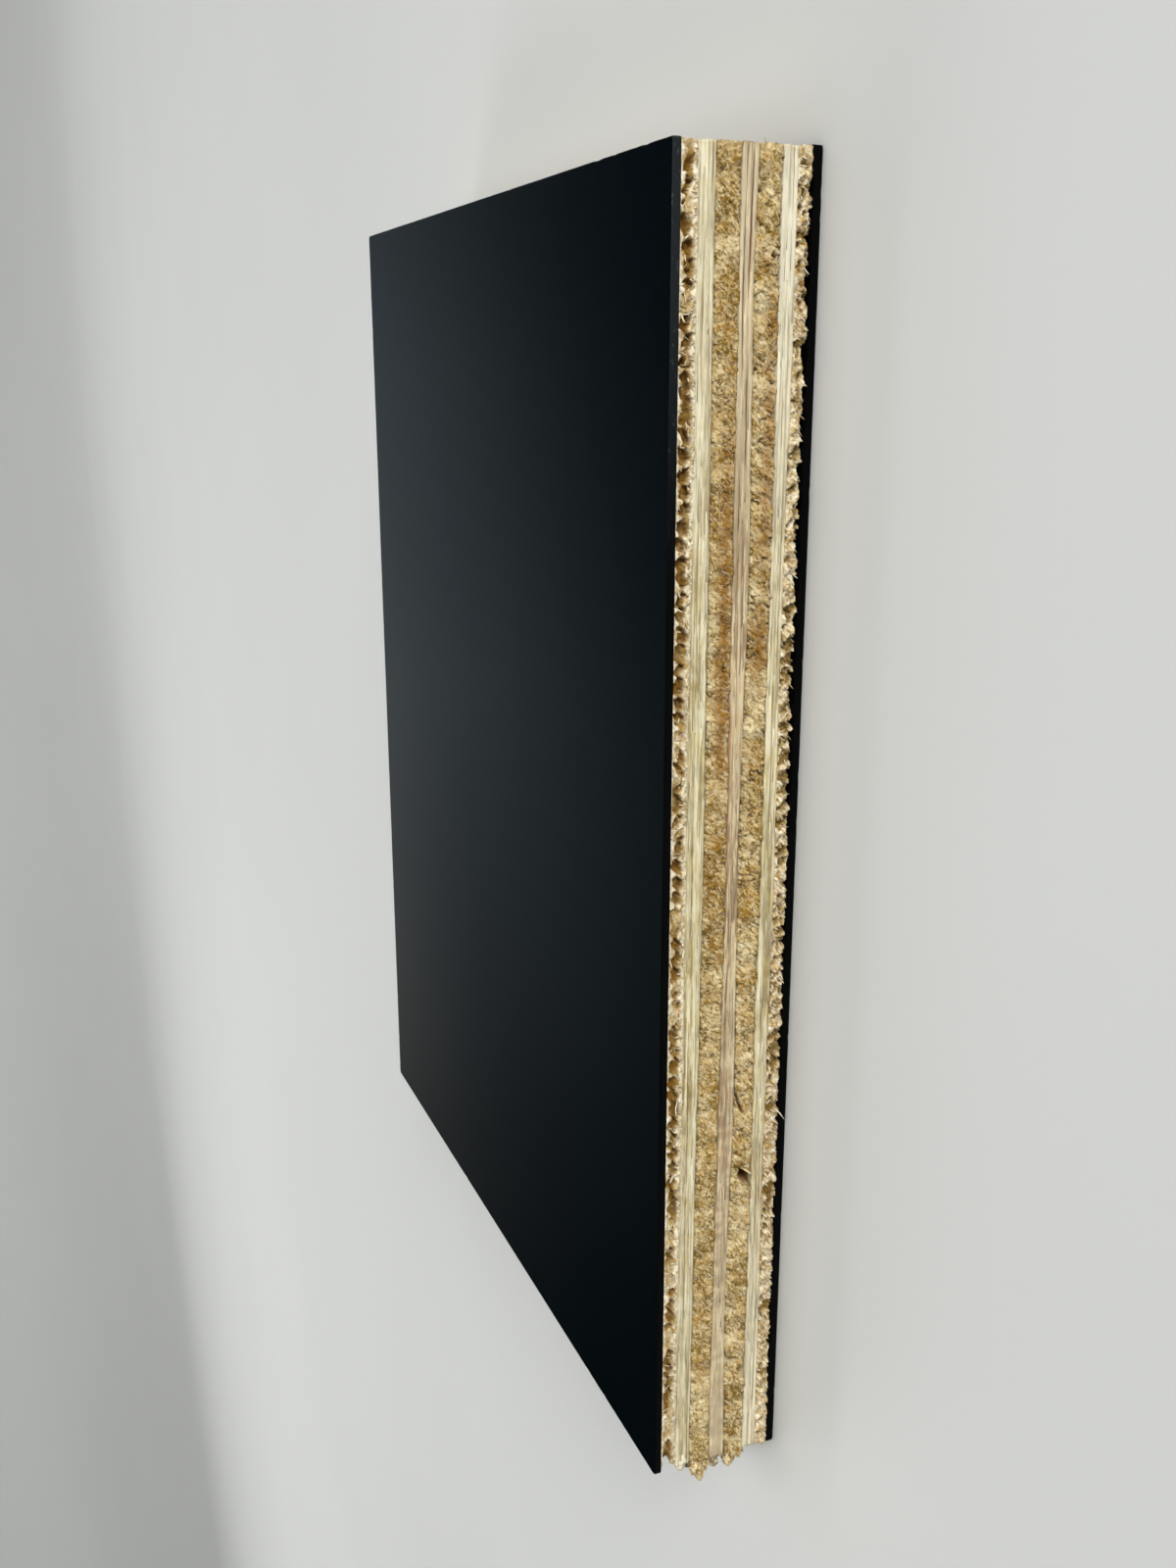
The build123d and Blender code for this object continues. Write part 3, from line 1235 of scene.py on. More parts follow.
@dataclass
class TornVeneer:
    """One veneer of the core, its sides torn by the saw.

    Slivers end a margin before the corners. The gap lists the corners of an open core gap as X and
    height, and how deep it goes at its foot and at its head.
    """

    name: str
    slot: str
    grain: Grain
    tear: PittedTear | RaggedTear | CrumblyTear
    seed: int
    finish: "PoplarVeneer"
    lower: GlueSurface | None = None
    upper: GlueSurface | None = None
    combed: CombedGrain = CombedGrain()
    row_step: float = 0.14
    least_rows: int = 8
    ragged_end: bool = False
    stains: tuple[Stain, ...] = ()
    hollows: tuple[Hollow, ...] = ()
    splinters: tuple[Splinters, ...] = ()
    end_splinters: tuple[Splinters, ...] = ()
    slivers: tuple[Splinters, ...] = ()
    sliver_margin: float = 8.0
    strands: tuple[Strand, ...] = ()
    clumps: tuple[Clump, ...] = ()
    gap: tuple[tuple[float, float], ...] = ()
    gap_depths: tuple[float, float] = (1.0, 2.6)
    gap_rim: tuple[float, float] = (-0.06, 0.1)
    depth_limits: tuple[float, float] = (-2.7, 2.6)
    glue_gap: float = 0.004
    glue_line: float = 0.05
    glue_groove: float = 0.07
    near_band: float = 4.0
    end_blend: float = 1.5
    corner_blend: float = 1.0
    tear_blend: float = 1.2
    sight_spread: float = 0.22

    def build(self) -> Object:
        """Builds the veneer's mesh and dresses it.

        Returns:
            The finished piece.
        """
        solid = PackedSolid(self.name)
        ring = Perimeter().ring(self.steps())
        middle = float(solid.low[2] + solid.high[2]) / 2.0
        spread = float(solid.high[2] - solid.low[2]) * self.sight_spread
        base = self.soften(solid.depth(ring, (middle - spread, middle, middle + spread)))
        surface = self.tear_sides(ring, base)
        shell = Shell()
        self.add_walls(shell, surface)
        generator = np.random.default_rng(self.seed)
        grown = 0
        for kinds, share in (
            (self.splinters, ring.share_of(self.torn_sides(), self.corner_blend)),
            (self.end_splinters, ring.share_of((Side.LEFT,), self.end_blend)),
            (self.slivers, ring.long_sides(self.sliver_margin)),
        ):
            for kind in kinds:
                grown += kind.grow(shell, surface, share, generator)
        for placed in (*self.strands, *self.clumps):
            placed.add(shell)
        piece = shell.to_object(self.name + "_wood", [self.finish.material()])
        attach(piece, "root")
        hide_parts(self.name)
        LOG.info("%s: %d faces, %d fibres", piece.name, len(piece.data.polygons), grown)
        return piece

    def torn_sides(self) -> tuple[Side, ...]:
        """The sides on which the fibres end, and the ragged end."""
        ends = (Side.NEAR, Side.FAR) if self.grain is Grain.ALONG_Y else (Side.RIGHT, Side.LEFT)
        return (*ends, Side.LEFT) if self.ragged_end else ends

    def steps(self) -> dict[Side, float]:
        """The spacing of the columns: closest on the near edge, and wide along smooth long grain."""
        if self.grain is Grain.ALONG_Y:
            return {Side.NEAR: 0.13, Side.RIGHT: 0.36, Side.FAR: 0.25, Side.LEFT: 0.26}
        return {Side.NEAR: 0.34, Side.RIGHT: 0.26, Side.FAR: 0.5, Side.LEFT: 0.26}

    def soften(self, depth: Array) -> Array:
        """Rounds the solid's breaks a little.

        Args:
            depth: the solid's depth at each place of the ring.

        Returns:
            The softened depth.
        """
        weights = np.array([0.2, 0.6, 0.2])
        wrapped = np.concatenate([depth[-1:], depth, depth[:1]])
        return np.clip(np.convolve(wrapped, weights, mode="valid"), *self.depth_limits)

    def tear_sides(self, ring: Ring, base: Array) -> WoodSurface:
        """Works out the torn side walls.

        Args:
            ring: the places round the sheet.
            base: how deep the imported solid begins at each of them.

        Returns:
            The surface.
        """
        flat_x, flat_y = ring.points(base)
        bottom = self.lower.height(flat_x, flat_y)
        top = self.upper.height(flat_x, flat_y)
        rows = max(self.least_rows, round(float(np.mean(top - bottom)) / self.row_step) + 1)
        level = np.linspace(0.0, 1.0, rows)[:, None]
        z = bottom + (top - bottom) * level
        x = np.broadcast_to(ring.outer[:, 0], z.shape)
        y = np.broadcast_to(ring.outer[:, 1], z.shape)
        on_long_side = ring.share_of((Side.NEAR, Side.FAR), 0.01) > 0.5
        along = np.where(on_long_side, x, y)
        key = np.broadcast_to(1.0 + ring.side, z.shape)
        level = np.broadcast_to(level, z.shape)
        patch = Patch(along, key, z, level, ring.travel, base, self.seed * 10)
        torn_share = ring.share_of(self.torn_sides(), self.tear_blend)
        relief = self.tear.carve(patch).blend(self.combed.carve(patch), torn_share)
        inner = SHEET_WIDTH / 2.0 - self.near_band
        near = smooth_step(-y, inner, inner + 1.0)
        self.open_hollows(relief, near, x, z)
        lowest = np.exp(-((level / self.glue_line) ** 2))
        highest = np.exp(-(((1.0 - level) / self.glue_line) ** 2))
        depth = relief.depth + self.glue_groove * (lowest + highest)
        place_x = x + ring.inward[:, 0] * depth
        place_y = y + ring.inward[:, 1] * depth
        inner_bottom = self.lower.height(place_x, place_y) + self.glue_gap
        inner_top = self.upper.height(place_x, place_y) - self.glue_gap
        place_z = inner_bottom + (inner_top - inner_bottom) * level
        fields = {
            "recess_brown_and_painted_shade": relief.recess_brown_and_painted_shade,
            "glue": lowest * self.lower.darkened(x, y) + highest * self.upper.darkened(x, y),
            "stain": self.stained(near, x, y, z),
            "fibre": relief.fibre,
            "tone": relief.tone,
        }
        places = np.stack([place_x, place_y, place_z], axis=-1)
        return WoodSurface(ring, places, fields, (CORE_BOTTOM + 0.02, CORE_TOP - 0.02))

    def open_hollows(self, relief: Relief, near: Array, x: Array, z: Array) -> None:
        """Opens the listed cracks, and the core gap.

        Args:
            relief: the relief, which is changed.
            near: how far each place belongs to the near edge.
            x: places along the sheet.
            z: heights.
        """
        for hollow in self.hollows:
            share = near * hollow.at(x, z)
            relief.depth = relief.depth + share * hollow.depth
            # The cracks are darkened as painted shade
            relief.recess_brown_and_painted_shade = np.maximum(relief.recess_brown_and_painted_shade, share)
            relief.fibre = relief.fibre * (1.0 - share)
        if not self.gap:
            return
        # The gap's lower corner is a slope of torn wood, and its upper one goes in deep
        opening = near * self.gap_share(x, z)
        lowest = min(height for _, height in self.gap)
        rise = smooth_step(z, lowest + 0.3, lowest + 1.2)
        floor = self.gap_depths[0] + (self.gap_depths[1] - self.gap_depths[0]) * rise
        relief.depth = relief.depth + opening * (floor + 0.3 * relief.depth - relief.depth)
        # The gap is darkened as painted shade, most where it goes in deep
        relief.recess_brown_and_painted_shade = np.maximum(relief.recess_brown_and_painted_shade, opening * (0.75 + 0.25 * rise))
        relief.fibre = relief.fibre * (1.0 - opening)

    def stained(self, near: Array, x: Array, y: Array, z: Array) -> Array:
        """Adds up the stains: those placed on the near edge, and soft random ones all round.

        Args:
            near: how far each place belongs to the near edge.
            x: places along the sheet.
            y: places across the sheet.
            z: heights.

        Returns:
            The stain's strength at each place.
        """
        noise = Lattice(self.seed + 500)
        broken = 0.75 + 0.6 * noise.layered(x / 1.7, y / 1.7, z / 0.9, 3)
        placed = sum((stain.at(x, z) for stain in self.stains), np.zeros_like(z))
        random = 0.5 * smooth_step(noise.layered(x / 9.0, y / 9.0, z / 1.2, 2), 0.05, 0.7)
        share = 0.3 if self.stains else 0.7
        whole = near * placed * (0.55 + 0.5 * broken)
        return np.clip(whole + random * (1.0 - near * (1.0 - share)) * broken, 0.0, 1.0)

    def gap_share(self, x: Array, z: Array) -> Array:
        """Finds the places inside the open core gap.

        Args:
            x: places along the sheet.
            z: heights.

        Returns:
            1 inside the gap, 0 outside it, with a narrow rim between.
        """
        nearest = np.full(z.shape, np.inf)
        for (ax, az), (bx, bz) in zip(self.gap, (*self.gap[1:], self.gap[0])):
            length = math.hypot(bx - ax, bz - az)
            nearest = np.minimum(nearest, ((bx - ax) * (z - az) - (bz - az) * (x - ax)) / length)
        return smooth_step(nearest, *self.gap_rim)

    def add_walls(self, shell: Shell, surface: WoodSurface) -> None:
        """Adds the side walls and the two hidden faces to the mesh.

        Args:
            shell: the mesh.
            surface: the side walls.
        """
        rows, columns = surface.places.shape[:2]
        values = {name: grid.ravel() for name, grid in surface.fields.items()}
        shell.add(surface.places.reshape(-1, 3), [wall_quads(rows, columns)], values)
        shell.close(surface.places[0], 0, lambda x, y: self.lower.height(x, y) + self.glue_gap, False)
        first = (rows - 1) * columns
        shell.close(surface.places[-1], first, lambda x, y: self.upper.height(x, y) - self.glue_gap, True)


@dataclass
class LaminateSheet:
    """A laminate with clean faces and a sawn edge."""

    name: str
    slot: str
    bottom: float
    outer_up: bool
    seed: int
    face_material: Material
    edge_material: Material
    thickness: float = 1.0
    corner_radius: float = 0.35
    arris: float = 0.12
    step: float = 0.45
    levels: tuple[float, ...] = (0.0, 0.12, 0.26, 0.42, 0.58, 0.74, 0.88, 1.0)
    saw_mark_length: float = 0.55
    saw_mark_height: float = 0.3
    roughness: float = 0.022
    chip_length: float = 0.9
    chip_depth: float = 0.12

    def build(self) -> Object:
        """Builds the laminate's mesh and dresses it.

        Returns:
            The finished piece.
        """
        ring = Perimeter().ring({side: self.step for side in Side})
        level = np.array(self.levels)[:, None]
        z = self.bottom + self.thickness * level
        noise = Lattice(self.seed)
        x = ring.outer[:, 0]
        y = ring.outer[:, 1]
        marks = noise.layered(x / self.saw_mark_length, y / self.saw_mark_length, z / self.saw_mark_height, 2)
        chips = smooth_step(noise.at(x / self.chip_length + 50.0, y / self.chip_length, z * 0.0), 0.62, 0.95)
        outer_level = level if self.outer_up else 1.0 - level
        eased = self.arris * smooth_step(outer_level, 0.86, 1.0)
        chipped = self.chip_depth * chips * smooth_step(outer_level, 0.5, 1.0)
        depth = self.rounded_depth(ring) + self.roughness * (1.0 + marks) + eased + chipped
        x, y = ring.points(depth)
        places = np.stack([x, y, np.broadcast_to(z, depth.shape)], axis=-1)
        shell = Shell()
        rows, columns = depth.shape
        shell.add(places.reshape(-1, 3), [wall_quads(rows, columns)], slot=1)
        for row, upwards in ((0, False), (rows - 1, True)):
            height = float(z[row, 0])
            # The inner face, which torn wood bares in places, is as dull as the sawn edge
            slot = 0 if upwards == self.outer_up else 1
            shell.close(
                places[row], row * columns, lambda x, y, flat=height: np.full_like(x, flat), upwards, slot
            )
        piece = shell.to_object(self.name + "_sheet", [self.face_material, self.edge_material])
        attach(piece, "root")
        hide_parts(self.name)
        LOG.info("%s: %d faces", piece.name, len(piece.data.polygons))
        return piece

    def rounded_depth(self, ring: Ring) -> Array:
        """Gives the depth that rounds the four corners.

        Args:
            ring: the places round the sheet.

        Returns:
            The depth in millimetres.
        """
        corner_x = SHEET_LENGTH / 2.0 - np.abs(ring.outer[:, 0])
        corner_y = SHEET_WIDTH / 2.0 - np.abs(ring.outer[:, 1])
        radius = self.corner_radius
        inset = Perimeter().core_inset
        near = np.maximum(corner_x, corner_y)
        way = np.stack([inset - np.minimum(corner_x, inset), inset - np.minimum(corner_y, inset)])
        way = way / inset
        gap = np.stack([radius - corner_x, radius - corner_y])
        square = (way**2).sum(axis=0)
        middle = (gap * way).sum(axis=0)
        rest = (gap**2).sum(axis=0) - radius**2
        root = np.sqrt(np.maximum(middle**2 - square * rest, 0.0))
        return np.where(near < radius, np.maximum((middle - root) / square, 0.0), 0.0)


@dataclass(frozen=True)
class PoplarVeneer:
    """Peeled poplar veneer, sawn: pale dull wood whose torn fibre ends look lighter than the pits between,
    with painted shade in pits, cracks and grooves.

    Sizes are millimetres: the width and length of the grain's lines, and the sizes of the soft
    clouds of tone, of the warm patches and of the fuzz. Real fuzz is finer than 0.12 mm, and is
    drawn coarser so that it shows.
    """

    name: str
    grain: Grain
    pale: str
    middle: str
    dark: str
    warm: str
    # The pits' own brown, also laid as painted shade in recesses
    pit: str
    stain: str
    glue: str
    # Pale torn fibres, also laid as painted light at the long veneers' ends
    fibre: str
    roughness: float = 0.8
    line_width: float = 0.2
    line_length: float = 9.0
    cloud_size: float = 5.0
    warm_size: float = 1.7
    fuzz_size: float = 0.12
    cloud_share: float = 0.5
    tone_share: float = 0.3
    warm_share: float = 0.5
    fuzz_share: float = 0.7
    lightness_share: float = 0.16
    spread: float = 0.2
    bump: float = 0.4
    bump_height: float = 0.08

    def material(self) -> Material:
        """Makes the material.

        Returns:
            The new material.
        """
        made = bpy.data.materials.new(self.name)
        made.use_nodes = True
        tree = made.node_tree
        tree.nodes.clear()
        place = add_node(tree, "ShaderNodeTexCoord").outputs["Object"]
        across = 1.0 / (self.line_width * MM)
        along = 1.0 / (self.line_length * MM)
        scale = (along, across, across) if self.grain is Grain.ALONG_X else (across, along, across)
        stretched = add_node(
            tree, "ShaderNodeMapping", {"vector_type": "POINT", "Scale": scale}, {"Vector": place}
        ).outputs["Vector"]
        fine = {"Scale": 1.0, "Detail": 4.0, "Roughness": 0.65, "Distortion": 0.3}
        lines = add_node(tree, "ShaderNodeTexNoise", fine, {"Vector": stretched}).outputs["Fac"]
        clouds = {}
        for label, size in (("tone", self.cloud_size), ("warmth", self.warm_size), ("fuzz", self.fuzz_size)):
            settings = {"Scale": 1.0 / (size * MM), "Detail": 3.0, "Roughness": 0.55}
            clouds[label] = add_node(tree, "ShaderNodeTexNoise", settings, {"Vector": place}).outputs["Fac"]
        tone = add_node(tree, "ShaderNodeAttribute", {"attribute_name": "tone"}).outputs["Fac"]
        colour = self.wood_colour(tree, lines, clouds["tone"], tone)
        colour = self.tinted(tree, colour, clouds["warmth"])
        lightness = add_node(
            tree, "ShaderNodeMath", {"operation": "MULTIPLY_ADD", 1: self.lightness_share, 2: 1.0}, {0: tone}
        ).outputs["Value"]
        colour = add_node(
            tree, "ShaderNodeHueSaturation", links={"Value": lightness, "Color": colour}
        ).outputs["Color"]
        duller = {
            "From Min": 0.3,
            "From Max": 0.7,
            "To Min": self.roughness + 0.1,
            "To Max": self.roughness - 0.12,
        }
        rough = add_node(tree, "ShaderNodeMapRange", duller, {"Value": lines}).outputs["Result"]
        relief = add_node(
            tree,
            "ShaderNodeMath",
            {"operation": "MULTIPLY_ADD", 1: self.fuzz_share},
            {0: clouds["fuzz"], 2: lines},
        ).outputs["Value"]
        bump = add_node(
            tree,
            "ShaderNodeBump",
            {"Strength": self.bump, "Distance": self.bump_height * MM},
            {"Height": relief},
        ).outputs["Normal"]
        shader = add_node(
            tree,
            "ShaderNodeBsdfPrincipled",
            {"IOR": 1.5, "Specular IOR Level": 0.3, "Sheen Weight": 0.1, "Sheen Roughness": 0.5},
            {"Base Color": colour, "Roughness": rough, "Normal": bump},
        ).outputs["BSDF"]
        add_node(tree, "ShaderNodeOutputMaterial", links={"Surface": shader})
        return made

    def wood_colour(
        self, tree: NodeTree, lines: NodeSocket, cloud: NodeSocket, tone: NodeSocket
    ) -> NodeSocket:
        """Gives the bare wood's colour, from dark to pale.

        Args:
            tree: the material's node tree.
            lines: the grain's lines.
            cloud: soft noise.
            tone: the mesh's own tone, around 0.

        Returns:
            The colour.
        """
        # The lines lie around the ramp's middle, 0.5. The clouds do too, and are moved to around 0.
        level = -0.5 * self.cloud_share
        factor = add_node(tree, "ShaderNodeMath", {"operation": "ADD", 1: level}, {0: lines}).outputs["Value"]
        for value, weight in ((cloud, self.cloud_share), (tone, self.tone_share)):
            settings = {"operation": "MULTIPLY_ADD", 1: weight}
            factor = add_node(tree, "ShaderNodeMath", settings, {0: value, 2: factor}).outputs["Value"]
        ramp = add_node(tree, "ShaderNodeValToRGB", links={"Fac": factor})
        stops = ramp.color_ramp.elements
        stops[0].position = 0.5 - self.spread
        stops[0].color = linear(self.dark)
        stops[1].position = 0.5 + self.spread
        stops[1].color = linear(self.pale)
        stops.new(0.5).color = linear(self.middle)
        return ramp.outputs["Color"]

    def tinted(self, tree: NodeTree, colour: NodeSocket, warmth: NodeSocket) -> NodeSocket:
        """Tints the wood: warm patches, stains, pits with painted shade in the recesses, glue, and torn
        fibres with painted light at the long veneers' ends, each over the last.

        Args:
            tree: the material's node tree.
            colour: the bare wood's colour.
            warmth: soft noise that places the warm patches.

        Returns:
            The tinted colour.
        """
        limits = {"From Min": 0.45, "From Max": 0.68, "To Max": self.warm_share}
        warm = add_node(tree, "ShaderNodeMapRange", limits, {"Value": warmth}).outputs["Result"]
        tints = [(self.warm, warm)]
        # The recess colour lays the pits' brown with painted shade, and the fibre colour also painted light
        # at the long veneers' ends
        for label, tint, strength in (
            ("stain", self.stain, 0.8),
            ("recess_brown_and_painted_shade", self.pit, 0.95),
            ("glue", self.glue, 0.85),
            ("fibre", self.fibre, 0.85),
        ):
            value = add_node(tree, "ShaderNodeAttribute", {"attribute_name": label}).outputs["Fac"]
            settings = {"operation": "MULTIPLY", "use_clamp": True, 1: strength}
            tints.append((tint, add_node(tree, "ShaderNodeMath", settings, {0: value}).outputs["Value"]))
        for tint, share in tints:
            settings = {"data_type": "RGBA", "blend_type": "MIX", 7: linear(tint)}
            colour = add_node(tree, "ShaderNodeMix", settings, {0: share, 6: colour}).outputs[2]
        return colour


@dataclass(frozen=True)
class HighPressureLaminate:
    """Melamine-faced high-pressure laminate: a smooth matt black skin with a faint even texture.

    Sizes are millimetres. Where a grey is given, the sawn edge is painted greyer from one place along the
    sheet to another, towards +X: painted light, where more light falls on that end; pale scratches show over
    the same stretch.
    """

    name: str
    pale: str
    dark: str
    roughness: float
    roughness_range: float
    grit: float
    bump: float
    bump_height: float
    shine: float
    cloud_size: float = 34.0
    cloud_share: float = 0.6
    stretch: tuple[float, float, float] = (1.0, 1.0, 1.0)
    painted_light_grey: str = ""
    scratched: str = "#6E7274"
    painted_light_from: float = 32.0
    painted_light_to: float = 82.0
    painted_light_share: float = 0.8
    scratch_size: float = 0.6
    scratch_share: float = 0.5

    def material(self) -> Material:
        """Makes the material.

        Returns:
            The new material.
        """
        made = bpy.data.materials.new(self.name)
        made.use_nodes = True
        tree = made.node_tree
        tree.nodes.clear()
        place = add_node(tree, "ShaderNodeTexCoord").outputs["Object"]
        stretched = add_node(
            tree, "ShaderNodeMapping", {"vector_type": "POINT", "Scale": self.stretch}, {"Vector": place}
        ).outputs["Vector"]
        fine = {"Scale": 1.0 / (self.grit * MM), "Detail": 3.0, "Roughness": 0.55}
        grit = add_node(tree, "ShaderNodeTexNoise", fine, {"Vector": stretched}).outputs["Fac"]
        broad = {"Scale": 1.0 / (self.cloud_size * MM), "Detail": 3.0, "Roughness": 0.5}
        clouds = add_node(tree, "ShaderNodeTexNoise", broad, {"Vector": place}).outputs["Fac"]
        around = {"operation": "MULTIPLY_ADD", 1: self.cloud_share, 2: -0.5 * self.cloud_share}
        drift = add_node(tree, "ShaderNodeMath", around, {0: clouds}).outputs["Value"]
        paleness = add_node(
            tree, "ShaderNodeMath", {"operation": "ADD", "use_clamp": True}, {0: drift, 1: grit}
        ).outputs["Value"]
        colour = add_node(
            tree,
            "ShaderNodeMix",
            {"data_type": "RGBA", "blend_type": "MIX", 6: linear(self.dark), 7: linear(self.pale)},
            {0: paleness},
        ).outputs[2]
        # Painted light: the edge is painted greyer towards +X, where more light falls, and scratched over the
        # same stretch
        if self.painted_light_grey:
            along = add_node(tree, "ShaderNodeSeparateXYZ", links={"Vector": place}).outputs["X"]
            reach = {
                "interpolation_type": "SMOOTHSTEP",
                "From Min": self.painted_light_from * MM,
                "From Max": self.painted_light_to * MM,
                "To Max": self.painted_light_share,
            }
            painted_light_ramp = add_node(tree, "ShaderNodeMapRange", reach, {"Value": along}).outputs["Result"]
            uneven = {"operation": "MULTIPLY_ADD", 1: 0.7, 2: 0.75}
            painted_light_mottle = add_node(tree, "ShaderNodeMath", uneven, {0: grit}).outputs["Value"]
            marks = {"Scale": 1.0 / (self.scratch_size * MM), "Detail": 3.0, "Roughness": 0.5}
            scratches = add_node(tree, "ShaderNodeTexNoise", marks, {"Vector": stretched}).outputs["Fac"]
            limits = {"From Min": 0.62, "From Max": 0.74, "To Max": self.scratch_share}
            cut = add_node(tree, "ShaderNodeMapRange", limits, {"Value": scratches}).outputs["Result"]
            for tint, mark in ((self.painted_light_grey, painted_light_mottle), (self.scratched, cut)):
                times = {"operation": "MULTIPLY"}
                share = add_node(tree, "ShaderNodeMath", times, {0: painted_light_ramp, 1: mark}).outputs["Value"]
                settings = {"data_type": "RGBA", "blend_type": "MIX", 7: linear(tint)}
                colour = add_node(tree, "ShaderNodeMix", settings, {0: share, 6: colour}).outputs[2]
        limits = {
            "From Min": 0.3,
            "From Max": 0.7,
            "To Min": self.roughness - self.roughness_range,
            "To Max": self.roughness + self.roughness_range,
        }
        rough = add_node(tree, "ShaderNodeMapRange", limits, {"Value": paleness}).outputs["Result"]
        bump = add_node(
            tree,
            "ShaderNodeBump",
            {"Strength": self.bump, "Distance": self.bump_height * MM},
            {"Height": grit},
        ).outputs["Normal"]
        shader = add_node(
            tree,
            "ShaderNodeBsdfPrincipled",
            {"IOR": 1.5, "Specular IOR Level": self.shine},
            {"Base Color": colour, "Roughness": rough, "Normal": bump},
        ).outputs["BSDF"]
        add_node(tree, "ShaderNodeOutputMaterial", links={"Surface": shader})
        return made


@dataclass(frozen=True)
class AreaLight:
    """One soft light of the studio. Its place, its target and its size are metres, its power watts."""

    name: str
    place: tuple[float, float, float]
    target: tuple[float, float, float]
    size: tuple[float, float]
    power: float
    spread: float = 180.0
    colour: str = "#FFFFFF"

    def build(self) -> Object:
        """Hangs the light.

        Returns:
            The light.
        """
        data = bpy.data.lights.new(self.name, "AREA")
        data.shape = "RECTANGLE"
        data.size = self.size[0]
        data.size_y = self.size[1]
        data.energy = self.power
        data.spread = math.radians(self.spread)
        data.color = linear(self.colour)[:3]
        made = bpy.data.objects.new(self.name, data)
        bpy.context.scene.collection.objects.link(made)
        made.location = self.place
        way = Vector(self.target) - Vector(self.place)
        made.rotation_mode = "QUATERNION"
        made.rotation_quaternion = way.to_track_quat("-Z", "Y")
        made.visible_camera = False
        return made


